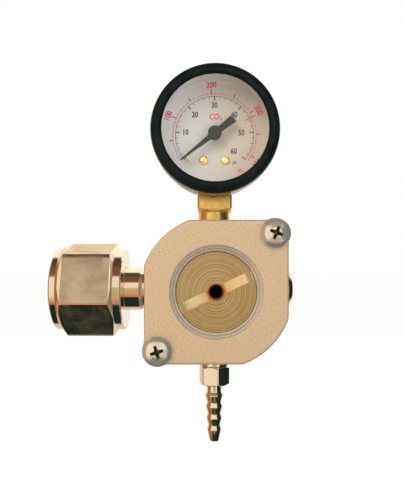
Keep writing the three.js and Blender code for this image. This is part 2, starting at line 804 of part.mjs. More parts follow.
// ---------------------------------------------------------------- gauge, about the dial's centre
function gaugeSocket() {
  const blockTop = caseSocketTop - gaugeRise;
  const blockEnd = blockTop - socketBlock;
  const portEnd = portFloor + looseGap - gaugeRise;
  const half = socketFlats / 2;
  const corner = half * Math.SQRT2;
  const cube = block(-half, half, -half, half, blockEnd, blockTop);
  const crown = turned([
    [0, blockEnd],
    [half - chamferInset, blockEnd],
    [corner, blockEnd + socketChamfer],
    [corner, blockTop],
    [0, blockTop],
  ], 'z', 24);
  const stem = turned([
    [0, portEnd],
    [gaugePort - threadGap, portEnd],
    [gaugePort - threadGap, blockHalf - gaugeRise],
    [socketNeckRadius, blockHalf - gaugeRise + faceGap],
    [socketNeckRadius, blockEnd + 1],
    [socketStemRadius, blockEnd + 1],
    [socketStemRadius, socketInnerEnd + 1],
    [0, socketInnerEnd + 1],
  ], 'z', 16);
  const backY = movementBack - faceGap;
  const inner = block(-socketInnerHalf, socketInnerHalf, -socketInnerFront, backY, socketInnerEnd,
    socketInnerTop);
  let solid = cube.intersect(crown).add(stem).add(inner);
  solid = solid.subtract(rod(socketBore, portEnd - 1, socketInnerTop - socketRoof, 'z', 12));
  const tubeFeed = rod(socketFeed, -socketInnerHalf - 1, 0, 'x', 10);
  solid = solid.subtract(tubeFeed.translate([0, 0.3, tubeRadius * Math.sin(radians(tubeStart))]));
  for (const x of [-caseScrewX, caseScrewX]) {
    const hole = rod(caseScrewRadius + threadGap, 0.2, backY + 1, 'y', 14);
    solid = solid.subtract(hole.translate([x, 0, caseScrewZ]));
  }
  return piece('gauge_socket', solid, 'brass');
}

function gaugeCase() {
  const shell = turned([
    [0, caseBack],
    [caseRadius - caseCorner, caseBack],
    [caseRadius - caseCorner * 0.3, caseBack - caseCorner * 0.3],
    [caseRadius, caseBack - caseCorner],
    [caseRadius, -caseRim],
    [caseInner, -caseRim],
    [caseInner, caseBack - caseCorner],
    [caseInner - caseCorner * 0.5, caseBack - caseWall],
    [0, caseBack - caseWall],
  ], 'y', 36);
  const hole = rod(socketStemRadius + looseGap, -caseRadius - 2, -caseInner + 2, 'z', 20);
  let solid = shell.subtract(hole);
  for (const x of [-caseScrewX, caseScrewX]) {
    const screwHole = rod(caseScrewRadius + threadGap, caseBack - 3, caseBack + 1, 'y', 14);
    solid = solid.subtract(screwHole.translate([x, 0, caseScrewZ]));
  }
  return piece('gauge_case', solid, 'caseGold');
}

function gaugeFront() {
  const lensBack = -caseRim - gasketThickness - 2 * faceGap;
  const lensFace = lensBack - lensThickness;
  const lipBack = lensFace - faceGap;
  const lipFace = lipBack - bezelLip;
  const skirtInner = caseRadius + looseGap / 2;
  const bezel = turned([
    [windowRadius, lipBack],
    [windowRadius, lipFace + 0.5],
    [windowRadius + 0.6, lipFace],
    [bezelRadius - 2.0, lipFace],
    [bezelRadius - 0.6, lipFace + 0.6],
    [bezelRadius, lipFace + 1.9],
    [bezelRadius, -bezelSkirt],
    [skirtInner, -bezelSkirt],
    [skirtInner, lipBack],
    [windowRadius, lipBack],
  ], 'y', 40);
  const lensRadius = caseRadius - looseGap;
  const gasket = ring(lensRadius - gasketWidth, lensRadius, -caseRim - faceGap - gasketThickness,
    -caseRim - faceGap, 'y', 36);
  const dialBack = dialThickness - dialFront;
  const dialRadius = caseInner - dialSlack;
  let dial = rod(dialRadius, -dialFront, dialBack, 'y', 36);
  dial = dial.add(ring(dialRadius - dialRim, dialRadius, -dialRimFront, -dialFront, 'y', 36));
  dial = dial.subtract(rod(arborRadius + looseGap, -dialFront - 1, dialBack + 1, 'y', 18));
  for (const x of [-dialScrewX, dialScrewX]) {
    const hole = rod(dialScrewRadius + threadGap, -dialFront - 1, dialBack + 1, 'y', 14);
    dial = dial.subtract(hole.translate([x, 0, -dialScrewDrop]));
  }
  const stopAngle = radians(zeroAngle) - (stopPinRadius + looseGap + 0.25) / stopPinReach;
  const stopX = stopPinReach * Math.sin(stopAngle);
  const stopZ = stopPinReach * Math.cos(stopAngle);
  const stop = rod(stopPinRadius, -dialFront - stopPinHeight, -dialFront - faceGap, 'y', 12);
  return [
    piece('gauge_bezel', bezel, 'black'),
    piece('gauge_lens', rod(lensRadius, lensFace, lensBack, 'y', 36), 'lens'),
    piece('lens_gasket', gasket, 'rubber'),
    piece('gauge_dial', dial, 'dial'),
    piece('stop_pin', stop.translate([stopX, 0, stopZ]), 'brass'),
  ];
}

// A round-headed slotted screw along Y, its head's underside at Y = 0.
function slottedScrew(name, headRadius, dome, radius, length, finish) {
  let solid = turned([
    [0, -dome],
    [headRadius * 0.6, -dome * 0.85],
    [headRadius, -dome * 0.3],
    [headRadius, 0],
    [radius, 0],
    [radius, length],
    [0, length],
  ], 'y', 12);
  const slot = block(-headRadius - 1, headRadius + 1, -dome - 1, -dome * 0.45, -0.2, 0.2);
  solid = solid.subtract(slot);
  return piece(name, solid, finish);
}

function gaugeScrews() {
  const screws = [];
  for (const [side, x] of [['left', -dialScrewX], ['right', dialScrewX]]) {
    const length = dialFront - movementFront + movementPlate;
    const screw = slottedScrew(`dial_screw_${side}`, dialScrewHead, dialScrewDome, dialScrewRadius,
      length, 'brass');
    screw.position.set(x, -dialFront - faceGap, -dialScrewDrop);
    screws.push(screw);
  }
  for (const [side, x] of [['left', -caseScrewX], ['right', caseScrewX]]) {
    const length = caseBack - 0.6;
    const screw = slottedScrew(`case_screw_${side}`, caseScrewHead, caseScrewDome, caseScrewRadius,
      length, 'steel');
    screw.rotation.z = Math.PI;
    screw.position.set(x, caseBack + faceGap, caseScrewZ);
    screws.push(screw);
  }
  return screws;
}

// ---------------------------------------------------------------- pointer and movement
// Straight-sided teeth on an outline that runs from one angle to another, in degrees.
function toothedArc(outline, pitchRadius, teeth, firstTooth, count) {
  const step = (2 * Math.PI) / teeth;
  const half = (step * toothShare) / 2;
  const tip = pitchRadius + 0.75 * gearModule;
  const root = pitchRadius - 1.05 * gearModule;
  for (let i = 0; i < count; i += 1) {
    const middle = firstTooth + i * step;
    const corners = [
      [root, middle - half * 1.5],
      [tip, middle - half * 0.5],
      [tip, middle + half * 0.5],
      [root, middle + half * 1.5],
    ];
    for (const [radius, angle] of corners) {
      outline.push(new THREE.Vector2(radius * Math.cos(angle), radius * Math.sin(angle)));
    }
  }
  return outline;
}

function pointerPieces() {
  const bladeBack = -dialFront - pointerStand;
  const bladeFace = bladeBack - pointerThickness;
  const outline = new THREE.Shape();
  outline.moveTo(needleHalfWidth, 0);
  outline.lineTo(needleTip, needleLength);
  outline.lineTo(-needleTip, needleLength);
  outline.lineTo(-needleHalfWidth, 0);
  outline.lineTo(-tailHalfWidth, -tailLength);
  outline.lineTo(0, -tailLength + tailNotch);
  outline.lineTo(tailHalfWidth, -tailLength);
  outline.closePath();
  let blade = slab(outline, bladeFace, bladeBack, 4);
  blade = blade.add(turned([
    [0, bladeFace - hubHeight],
    [hubRadius - 0.5, bladeFace - hubHeight],
    [hubRadius, bladeFace - hubHeight + 0.4],
    [hubRadius, bladeBack + 0.6],
    [0, bladeBack + 0.6],
  ], 'y', 28));
  const arborEnd = bladeFace;
  blade = blade.subtract(rod(arborRadius + runGap, arborEnd - 0.2, bladeBack + 2, 'y', 24));
  const pointer = piece('gauge_pointer', blade, 'black');
  pointer.rotation.y = radians(zeroAngle);

  const backEnd = movementBack + movementPlate + 0.3;
  const arbor = rod(arborRadius, arborEnd, backEnd, 'y', 24);
  const step = (2 * Math.PI) / pinionTeeth;
  const teeth = toothedArc([], gearPitchPinion, pinionTeeth, -Math.PI / 2 + step / 2, pinionTeeth);
  const half = pinionThickness / 2;
  const pinion = slab(new THREE.Shape(teeth), -half, half);
  return [pointer, piece('pointer_arbor', arbor.add(pinion), 'brass')];
}

// The sector turns about a pivot straight below the pointer's arbor.
function sectorPieces() {
  const teethEqual = pinionTeeth * sectorRatio;
  const step = 360 / teethEqual;
  const before = Math.round((sectorSweep + sectorMargin) / step);
  const after = Math.round(sectorMargin / step);
  const first = radians(90 - before * step);
  const points = toothedArc([], gearPitchSector, teethEqual, first, before + after + 1);
  const inner = gearPitchSector - gearModule - sectorRim;
  const lowAngle = first - radians(step / 2);
  const highAngle = radians(90 + after * step + step / 2);
  const rim = new THREE.Shape(points);
  const innerSteps = 8;
  for (let i = 0; i <= innerSteps; i += 1) {
    const angle = highAngle + ((lowAngle - highAngle) * i) / innerSteps;
    rim.lineTo(inner * Math.cos(angle), inner * Math.sin(angle));
  }
  const half = sectorThickness / 2;
  let solid = slab(rim, -half, half);
  const middle = (lowAngle + highAngle) / 2;
  const arm = block(0, inner + 0.5, -half, half, -1, 1).rotate([0, -degrees(middle), 0]);
  const tail = block(0, tailArm, -half, half, -0.7, 0.7).rotate([0, -tailAngle, 0]);
  const tailX = tailArm * Math.cos(radians(tailAngle));
  const tailZ = tailArm * Math.sin(radians(tailAngle));
  const pad = rod(tailPad, -half, half, 'y', 18).translate([tailX, 0, tailZ]);
  const pinEnd = half + linkThickness + 2 * runGap;
  const pin = rod(linkPinRadius, -half, pinEnd, 'y', 14).translate([tailX, 0, tailZ]);
  const front = -movementFront + 0.2;
  const back = movementBack + movementPlate - 0.2;
  const arbor = rod(sectorArborRadius, front, back, 'y', 14);
  const hub = rod(sectorHub, -half - 0.6, half + 0.6, 'y', 16);
  for (const part of [arm, tail, pad, pin, arbor, hub]) solid = solid.add(part);
  const sector = piece('sector_gear', solid, 'brass');
  sector.position.set(0, 0, -gearDistance);

  // The link runs from the sector's tail to the tip of the tube.
  const tipAngle = radians(tubeEnd - tipSpan / 2);
  const tipX = tubeRadius * Math.cos(tipAngle) - tailX;
  const tipZ = tubeRadius * Math.sin(tipAngle) + gearDistance - tailZ;
  const length = Math.hypot(tipX, tipZ);
  const reachIn = length - tubeThickness / 2 - 1.6;
  const bar = new THREE.Shape();
  const wide = linkWidth / 2;
  bar.absarc(0, 0, wide, Math.PI / 2, 1.5 * Math.PI);
  bar.absarc(reachIn, 0, wide, -Math.PI / 2, Math.PI / 2);
  let link = slab(bar, half + runGap, half + runGap + linkThickness, 10);
  for (const x of [0, reachIn]) {
    link = link.subtract(rod(linkPinRadius + runGap, -1, 3, 'y', 14).translate([x, 0, 0]));
  }
  const linkPiece = piece('tip_link', link, 'brass');
  linkPiece.position.set(tailX, 0, tailZ - gearDistance);
  linkPiece.rotation.y = -Math.atan2(tipZ, tipX);

  const lugBar = block(reachIn - tipLug, length, -half, half, -tipLug, tipLug);
  const lugPin = rod(linkPinRadius, -half, pinEnd, 'y', 14).translate([reachIn, 0, 0]);
  const lug = lugBar.add(lugPin).rotate([0, -degrees(Math.atan2(tipZ, tipX)), 0]);
  const tall = tubeHeight / 2 + tipWall;
  const wideCap = tubeThickness / 2 + tipWall;
  const capHalf = (tubeRadius - wideCap) * Math.tan(radians(tipSpan / 2)) - faceGap;
  const capBlock = block(-wideCap, wideCap, -tall, tall, -capHalf, capHalf);
  const cap = capBlock.rotate([0, tipSpan / 2 - tubeEnd, 0]);
  const tipPlace = [tubeRadius * Math.cos(tipAngle), 0, tubeRadius * Math.sin(tipAngle)];
  const tip = lug.translate([tailX, 0, tailZ - gearDistance]).add(cap.translate(tipPlace));
  return [sector, linkPiece, piece('tube_tip', tip, 'brass')];
}

function movementPieces() {
  const pieces = [];
  const plates = [
    ['movement_front_plate', -movementFront, movementFoot],
    ['movement_back_plate', movementBack, caseInner - looseGap - 1.6],
  ];
  for (const [name, front, foot] of plates) {
    const outline = new THREE.Shape();
    const narrow = socketInnerHalf + 0.8;
    outline.moveTo(movementHalf, movementTop);
    outline.lineTo(-movementHalf, movementTop);
    outline.lineTo(-movementHalf, -movementTop);
    outline.lineTo(-narrow, -movementFoot);
    outline.lineTo(-narrow, -foot);
    outline.lineTo(narrow, -foot);
    outline.lineTo(narrow, -movementFoot);
    outline.lineTo(movementHalf, -movementTop);
    outline.closePath();
    const back = front + movementPlate;
    let plate = slab(outline, front, back);
    const holes = [
      [arborRadius + runGap, 0, 0],
      [sectorArborRadius + runGap, 0, -gearDistance],
    ];
    if (front < 0) {
      holes.push([dialScrewRadius + threadGap, -dialScrewX, -dialScrewDrop]);
      holes.push([dialScrewRadius + threadGap, dialScrewX, -dialScrewDrop]);
    } else {
      holes.push([caseScrewRadius + threadGap, -caseScrewX, caseScrewZ]);
      holes.push([caseScrewRadius + threadGap, caseScrewX, caseScrewZ]);
    }
    for (const [radius, x, z] of holes) {
      plate = plate.subtract(rod(radius, front - 1, back + 1, 'y', 18).translate([x, 0, z]));
    }
    pieces.push(piece(name, plate, 'brass'));
  }
  const from = -movementFront + movementPlate + faceGap;
  const to = movementBack - faceGap;
  for (const [side, x] of [['left', -pillarX], ['right', pillarX]]) {
    const pillar = rod(pillarRadius, from, to, 'y', 18).translate([x, 0, pillarZ]);
    pieces.push(piece(`movement_pillar_${side}`, pillar, 'brass'));
  }
  return pieces;
}

// The hairspring is a flat spiral band round the arbor.
class Spiral extends THREE.Curve {
  getPoint(t, target = new THREE.Vector3()) {
    const angle = 2 * Math.PI * hairTurns * t;
    const radius = hairInner + (hairOuter - hairInner) * t;
    return target.set(radius * Math.cos(angle), hairY, radius * Math.sin(angle));
  }
}

function hairSpring() {
  const section = new THREE.Shape();
  const wide = hairHeight / 2;
  const thin = hairBand / 2;
  section.moveTo(-wide, -thin);
  section.lineTo(wide, -thin);
  section.lineTo(wide, thin);
  section.lineTo(-wide, thin);
  section.closePath();
  const extrudePath = new Spiral();
  const geometry = new THREE.ExtrudeGeometry(section, { extrudePath, steps: 12 * hairTurns });
  return piece('hairspring', toSolid(geometry), 'bronze');
}

// The Bourdon tube is a hollow flattened tube bent to an arc, open at both ends.
class TubeArc extends THREE.Curve {
  getPoint(t, target = new THREE.Vector3()) {
    const angle = radians(tubeStart + (tubeEnd - tubeStart) * t);
    return target.set(tubeRadius * Math.cos(angle), 0, tubeRadius * Math.sin(angle));
  }
}

function stadium(path, length, width) {
  const straight = length / 2 - width / 2;
  path.absarc(straight, 0, width / 2, -Math.PI / 2, Math.PI / 2);
  path.absarc(-straight, 0, width / 2, Math.PI / 2, 1.5 * Math.PI);
  return path;
}

function bourdonTube() {
  const section = stadium(new THREE.Shape(), tubeHeight, tubeThickness);
  const boreHeight = tubeHeight - 2 * tubeWall;
  const boreThickness = tubeThickness - 2 * tubeWall;
  section.holes.push(stadium(new THREE.Path(), boreHeight, boreThickness));
  const extrudePath = new TubeArc();
  const geometry = new THREE.ExtrudeGeometry(section, { extrudePath, steps: 20, curveSegments: 2 });
  return piece('bourdon_tube', toSolid(geometry), 'bronze');
}

function gaugeGroup() {
  const group = new THREE.Group();
  group.position.z = gaugeRise;
  group.add(gaugeSocket(), gaugeCase(), ...gaugeFront(), ...gaugeScrews(), ...pointerPieces());
  group.add(...sectorPieces(), ...movementPieces(), hairSpring(), bourdonTube());
  return group;
}

// ---------------------------------------------------------------- assembly
function regulator() {
  const centre = new THREE.Group();
  centre.position.x = reach;
  centre.add(bodyPiece(), bonnetPiece(), ...coverScrews());
  centre.add(adjustingScrew(), thrustWasher(), rangeSpring(), ...diaphragmStack());
  centre.add(...valvePieces(), inletNut(), ...inletPieces(), ...reliefPieces(), hoseBarb(), gaugeGroup());
  const whole = new THREE.Group();
  whole.add(centre);
  return whole;
}

export default regulator();
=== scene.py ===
"""The finished look of a carbon dioxide regulator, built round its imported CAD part.

Lengths below are millimetres until a mesh is made, which turns them into metres.
X runs right along the inlet, Y away from the dial, Z up.
"""

import json
import math

import bmesh
import bpy
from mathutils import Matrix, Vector
import numpy as np


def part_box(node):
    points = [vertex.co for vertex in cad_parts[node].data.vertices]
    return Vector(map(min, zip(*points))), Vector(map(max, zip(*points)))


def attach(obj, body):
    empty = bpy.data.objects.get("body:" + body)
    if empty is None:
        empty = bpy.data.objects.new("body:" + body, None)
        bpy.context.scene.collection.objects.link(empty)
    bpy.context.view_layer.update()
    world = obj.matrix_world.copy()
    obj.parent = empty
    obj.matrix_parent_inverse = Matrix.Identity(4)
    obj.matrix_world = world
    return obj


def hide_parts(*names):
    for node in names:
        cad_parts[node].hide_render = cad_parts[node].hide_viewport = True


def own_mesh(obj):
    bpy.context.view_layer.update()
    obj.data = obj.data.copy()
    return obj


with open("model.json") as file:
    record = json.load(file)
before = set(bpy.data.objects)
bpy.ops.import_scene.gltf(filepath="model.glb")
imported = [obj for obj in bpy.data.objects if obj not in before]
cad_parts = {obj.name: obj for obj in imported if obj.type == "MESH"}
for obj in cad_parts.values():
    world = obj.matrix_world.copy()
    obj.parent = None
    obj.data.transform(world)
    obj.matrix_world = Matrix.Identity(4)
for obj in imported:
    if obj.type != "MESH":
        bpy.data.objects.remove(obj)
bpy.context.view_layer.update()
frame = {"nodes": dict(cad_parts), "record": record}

MM = 0.001
FULL_TURN = 2 * np.pi


# ---------------------------------------------------------------- places taken from the frame
def ends(node, axis):
    """The lowest and highest place of a CAD node along one axis, in millimetres."""
    low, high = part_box(node)
    index = "xyz".index(axis)
    return low[index] / MM, high[index] / MM


def middle(node, axis):
    """The middle of a CAD node along one axis, in millimetres."""
    return sum(ends(node, axis)) / 2


def half_width(node, axis):
    """Half a CAD node's size along one axis, in millimetres."""
    low, high = ends(node, axis)
    return (high - low) / 2


BODY_X = middle("body", "x")
GAUGE_Z = middle("gauge_case", "z")
JOINT_Y, BODY_BACK = ends("body", "y")
BONNET_FRONT, BONNET_BACK = ends("bonnet", "y")
DIAL_FRONT = ends("gauge_dial", "y")[1] - 0.5

BODY_AXIS = (BODY_X, 0, 0)
GAUGE_AXIS = (BODY_X, 0, GAUGE_Z)


# ---------------------------------------------------------------- surfaces
def rounded(corners, closed=True, steps=5):
    """A section's points. Each corner is (out, along, corner radius).

    A corner with a radius becomes an arc that touches both of its sides: the arc's centre lies on the
    bisector at radius / sin(half angle), and the arc starts radius / tan(half angle) from the corner.
    """
    spots = np.array([corner[:2] for corner in corners], float)
    points = []
    for index, corner in enumerate(corners):
        radius = corner[2] if len(corner) > 2 else 0
        if radius == 0 or (not closed and index in (0, len(corners) - 1)):
            points.append(spots[index])
            continue
        back = spots[index - 1] - spots[index]
        ahead = spots[(index + 1) % len(spots)] - spots[index]
        room = min(np.linalg.norm(back), np.linalg.norm(ahead)) * 0.49
        back /= np.linalg.norm(back)
        ahead /= np.linalg.norm(ahead)
        half = math.acos(np.clip(back @ ahead, -1, 1)) / 2
        radius = min(radius, room * math.tan(half))
        bisector = (back + ahead) / np.linalg.norm(back + ahead)
        centre = spots[index] + bisector * radius / math.sin(half)
        start = spots[index] + back * radius / math.tan(half) - centre
        sweep = math.pi - 2 * half
        way = np.sign(start[0] * -bisector[1] + start[1] * bisector[0])
        for share in np.linspace(0, 1, steps + 1):
            angle = way * sweep * share
            turn = np.array([[math.cos(angle), -math.sin(angle)], [math.sin(angle), math.cos(angle)]])
            points.append(centre + turn @ start)
    return np.array(points)


def circle(columns):
    """Unit directions evenly round a circle."""
    angle = np.arange(columns) * FULL_TURN / columns
    return np.stack([np.cos(angle), np.sin(angle)], axis=-1)


def round_rows(section, columns=96):
    """Loops of a turned shape: each section point (radius, place) carried round the axis."""
    section = np.asarray(section, float)
    return section[:, :1, None] * circle(columns)[None], section[:, 1]


def flat_rows(section, flats, sides=6, turn=0.0, steps=8):
    """Loops of a bar with flats that is turned to a section: the radius is min(r, flat / cos u).

    Columns are gathered at the angle u = acos(flat / r), where the turned surface meets the flat.
    flats has one half-width for each section point; infinity leaves that point round.
    """
    section = np.asarray(section, float)
    radius = section[:, :1]
    flat = np.broadcast_to(np.asarray(flats, float), len(section))[:, None]
    limit = np.pi / sides
    meets = np.where(radius > flat, np.arccos(np.clip(flat / np.maximum(radius, 1e-6), -1, 1)), 0)
    meets = np.minimum(meets, limit)
    share = np.linspace(0, 1, steps + 1)[None]
    half = np.concatenate([meets * share, (meets + (limit - meets) * share)[:, 1:]], axis=1)
    sector = np.concatenate([-half[:, :0:-1], half[:, :-1]], axis=1)
    reach = np.minimum(radius, flat / np.cos(sector))
    starts = np.arange(sides) * FULL_TURN / sides + turn
    angle = (starts[None, :, None] + sector[:, None]).reshape(len(section), -1)
    reach = np.tile(reach, (1, sides))
    return np.stack([reach * np.cos(angle), reach * np.sin(angle)], axis=-1), section[:, 1]


def thread_rows(rows, pitch, depth, first, last, lead=0.6):
    """Turned loops with a screw thread cut in them: depth times a wave of (place / pitch - angle / turn).

    The wave fades over one lead at first and last. A negative depth cuts inwards.
    """
    loops, places = rows
    angle = np.arctan2(loops[..., 1], loops[..., 0]) / FULL_TURN
    wave = np.clip(0.5 - 0.8 * np.cos(FULL_TURN * (places[:, None] / pitch - angle)), 0, 1)
    low, high = min(first, last), max(first, last)
    fade = np.clip((places - low) / lead, 0, 1) * np.clip((high - places) / lead, 0, 1)
    radius = np.linalg.norm(loops, axis=-1, keepdims=True)
    grown = radius + depth * (wave * fade[:, None])[..., None]
    return loops * grown / np.maximum(radius, 1e-9), places


def join_rows(*groups):
    """Several groups of loops, one after another."""
    return np.concatenate([g[0] for g in groups]), np.concatenate([g[1] for g in groups])


def placed(loops, places, axis, origin):
    """Puts (a, b, along) into the row frame.

    Along X that is (along, a, b), along Y (b, along, a) and along Z (a, b, along).
    """
    a, b = loops[..., 0], loops[..., 1]
    along = np.broadcast_to(places[:, None], a.shape)
    order = {"x": (along, a, b), "y": (b, along, a), "z": (a, b, along)}[axis]
    return np.stack(order, axis=-1) + np.array(origin, float)


def grid_faces(rows, columns, closed):
    """Quads of a grid of points whose columns close round; its rows close too where closed is true."""
    row, column = np.meshgrid(np.arange(rows if closed else rows - 1), np.arange(columns), indexing="ij")
    ahead = (row + 1) % rows
    beside = (column + 1) % columns
    quads = [row * columns + column, row * columns + beside, ahead * columns + beside,
             ahead * columns + column]
    return np.stack(quads, axis=-1).reshape(-1, 4)


def carried(rows, axis, origin, closed=True):
    """A surface of loops carried along an axis: points and faces."""
    points = placed(rows[0], rows[1], axis, origin)
    return points.reshape(-1, 3), grid_faces(points.shape[0], points.shape[1], closed)


def turned(section, axis, origin, columns=96):
    """A closed section of (radius, place) points carried round an axis."""
    return carried(round_rows(section, columns), axis, origin)


def prism(outline, axis, origin, first, last, shrink=1.0):
    """An outline of (a, b) points from one place to another, its far end scaled by shrink, with flat ends."""
    outline = np.asarray(outline, float)
    count = len(outline)
    points = placed(np.stack([outline, outline * shrink]), np.array([first, last], float), axis, origin)
    sides = grid_faces(2, count, False).tolist()
    return points.reshape(-1, 3), sides + [list(range(count)), list(range(count, 2 * count))]


def coil(radius, wire, first, last, turns, axis, origin, steps=28, sides=12):
    """A wire spring: a circle of the wire's radius, carried along (R cos u, R sin u, place).

    The place eases in and out, so that the end turns lie flat, and each end closes to a point.
    """
    share = np.linspace(0, 1, int(steps * turns) + 1)
    flat_end = 0.55 / turns
    climb = np.clip((share - flat_end) / (1 - 2 * flat_end), 0, 1)
    climb = climb * climb * (3 - 2 * climb) * 0.35 + climb * 0.65
    low, high = min(first, last) + wire / 2, max(first, last) - wire / 2
    place = low + (high - low) * climb
    angle = FULL_TURN * turns * share
    out = np.stack([np.cos(angle), np.sin(angle), 0 * angle], axis=-1)
    line = out * radius
    line[:, 2] = place
    along = np.gradient(line, axis=0)
    along /= np.linalg.norm(along, axis=1, keepdims=True)
    across = np.cross(along, out)
    ring = circle(sides) * wire / 2
    rows = line[:, None] + out[:, None] * ring[None, :, :1] + across[:, None] * ring[None, :, 1:]
    rows = np.concatenate([np.repeat(line[:1, None], sides, axis=1), rows,
                           np.repeat(line[-1:, None], sides, axis=1)])
    a, b, t = rows[..., 0], rows[..., 1], rows[..., 2]
    order = {"x": (t, a, b), "y": (b, t, a), "z": (a, b, t)}[axis]
    points = np.stack(order, axis=-1) + np.array(origin, float)
    return points.reshape(-1, 3), grid_faces(rows.shape[0], sides, False)


# ---------------------------------------------------------------- pieces
def solid(name, *shapes):
    """One object from closed shapes of (points in millimetres, faces); doubled points are merged."""
    points, faces, start = [], [], 0
    for shape_points, shape_faces in shapes:
        points.append(np.asarray(shape_points) * MM)
        faces += [[start + corner for corner in face] for face in np.asarray(shape_faces,
                dtype=object).tolist()] \
            if isinstance(shape_faces, list) else (shape_faces + start).tolist()
        start += len(shape_points)
    mesh = bpy.data.meshes.new(name)
    mesh.from_pydata(np.concatenate(points).tolist(), [], faces)
    work = bmesh.new()
    work.from_mesh(mesh)
    bmesh.ops.remove_doubles(work, verts=work.verts, dist=1e-7)
    bmesh.ops.dissolve_degenerate(work, edges=work.edges, dist=1e-8)
    bmesh.ops.recalc_face_normals(work, faces=work.faces)
    work.to_mesh(mesh)
    work.free()
    piece = bpy.data.objects.new(name, mesh)
    bpy.context.scene.collection.objects.link(piece)
    return piece


def evaluated_mesh(piece):
    """A new mesh of an object with its modifiers applied."""
    graph = bpy.context.evaluated_depsgraph_get()
    return bpy.data.meshes.new_from_object(piece.evaluated_get(graph))


def face_data(piece):
    """Every face's centre in millimetres and its normal."""
    count = len(piece.data.polygons)
    centres, normals = np.empty(count * 3), np.empty(count * 3)
    piece.data.polygons.foreach_get("center", centres)
    piece.data.polygons.foreach_get("normal", normals)
    return centres.reshape(-1, 3) / MM, normals.reshape(-1, 3)


def second_finish(piece, finish, chosen):
    """Another finish on the chosen faces of a piece."""
    piece.data.materials.append(finishes[finish])
    numbers = np.empty(len(piece.data.polygons), dtype=np.int32)
    piece.data.polygons.foreach_get("material_index", numbers)
    numbers[chosen] = len(piece.data.materials) - 1
    piece.data.polygons.foreach_set("material_index", numbers)


def carve(piece, *cutters, operation="DIFFERENCE"):
    """Cuts closed shapes out of a piece, or adds them to it, and keeps the result as its mesh."""
    for shape in cutters:
        cutter = solid(f"{piece.name}_cutter", shape)
        change = piece.modifiers.new("cut", "BOOLEAN")
        change.operation = operation
        change.solver = "EXACT"
        change.object = cutter
        bpy.context.view_layer.update()
        piece.data = evaluated_mesh(piece)
        piece.modifiers.clear()
        bpy.data.objects.remove(cutter)
    return piece


def soften(piece, width, segments=2, limit=40):
    """Rounds a piece's sharp edges and keeps the result as its mesh."""
    bevel = piece.modifiers.new("soft edges", "BEVEL")
    bevel.width = width * MM
    bevel.segments = segments
    bevel.limit_method = "ANGLE"
    bevel.angle_limit = math.radians(limit)
    piece.data = evaluated_mesh(piece)
    piece.modifiers.clear()
    return piece


def finish_piece(piece, material, body="root", stands_for=None, sharp=32):
    """Gives a piece its shading, finish and body, and hides the CAD node that it stands for."""
    piece.data.shade_smooth()
    piece.data.set_sharp_from_angle(angle=math.radians(sharp))
    piece.data.materials.clear()
    piece.data.materials.append(material)
    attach(piece, body)
    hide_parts(stands_for or piece.name.removesuffix("_finished"))
    return piece


# ---------------------------------------------------------------- shader helpers
def node(tree, kind, inputs=None, **settings):
    """Adds a node; inputs gives each named socket a value or the socket that feeds it."""
    made = tree.nodes.new(kind)
    for name, value in settings.items():
        setattr(made, name, value)
    for name, value in (inputs or {}).items():
        socket = made.inputs[name]
        if isinstance(value, bpy.types.NodeSocket):
            tree.links.new(value, socket)
        else:
            socket.default_value = value
    return made


def calculate(tree, operation, *values, clamp=False):
    """A Math node's result."""
    made = node(tree, "ShaderNodeMath", operation=operation, use_clamp=clamp)
    for socket, value in zip(made.inputs, values):
        if isinstance(value, bpy.types.NodeSocket):
            tree.links.new(value, socket)
        else:
            socket.default_value = value
    return made.outputs[0]


def mix_colour(tree, factor, first, second, blend="MIX"):
    """A mix of two colours."""
    made = node(tree, "ShaderNodeMix", data_type="RGBA", blend_type=blend)
    for socket, value in zip((made.inputs[0], made.inputs[6], made.inputs[7]), (factor, first, second)):
        if isinstance(value, bpy.types.NodeSocket):
            tree.links.new(value, socket)
        else:
            socket.default_value = value
    return made.outputs[2]


def ramp(tree, factor, stops, interpolation="LINEAR"):
    """A colour ramp from (place, colour) stops."""
    made = node(tree, "ShaderNodeValToRGB", {"Fac": factor})
    elements = made.color_ramp.elements
    made.color_ramp.interpolation = interpolation
    while len(elements) < len(stops):
        elements.new(0.5)
    for element, (place, colour) in zip(elements, stops):
        element.position = place
        element.color = (*colour, 1) if len(colour) == 3 else colour
    return made.outputs["Color"]


def between(tree, value, low, high, low_to=0.0, high_to=1.0):
    """A value moved from one range to another, held at its ends."""
    made = node(tree, "ShaderNodeMapRange", {"Value": value})
    for name, number in (("From Min", low), ("From Max", high), ("To Min", low_to), ("To Max", high_to)):
        made.inputs[name].default_value = number
    return made.outputs["Result"]


def shader_group(name, inputs, outputs, fill):
    """A reusable node group: fill(tree, inputs) returns the socket for each output."""
    tree = bpy.data.node_groups.new(name, "ShaderNodeTree")
    for label, kind, value in inputs:
        socket = tree.interface.new_socket(label, in_out="INPUT", socket_type=kind)
        socket.default_value = value
    for label, kind in outputs:
        tree.interface.new_socket(label, in_out="OUTPUT", socket_type=kind)
    given = tree.nodes.new("NodeGroupInput")
    taken = tree.nodes.new("NodeGroupOutput")
    for label, socket in fill(tree, given.outputs).items():
        tree.links.new(socket, taken.inputs[label])
    return tree


FLOAT, VECTOR = "NodeSocketFloat", "NodeSocketVector"


def object_places(tree):
    return node(tree, "ShaderNodeTexCoord").outputs["Object"]


def noise(tree, vector, scale, detail=2.0, rough=0.5, distort=0.0):
    made = node(tree, "ShaderNodeTexNoise",
                {"Vector": vector, "Scale": scale, "Detail": detail, "Roughness": rough})
    made.inputs["Distortion"].default_value = distort
    return made.outputs["Fac"]


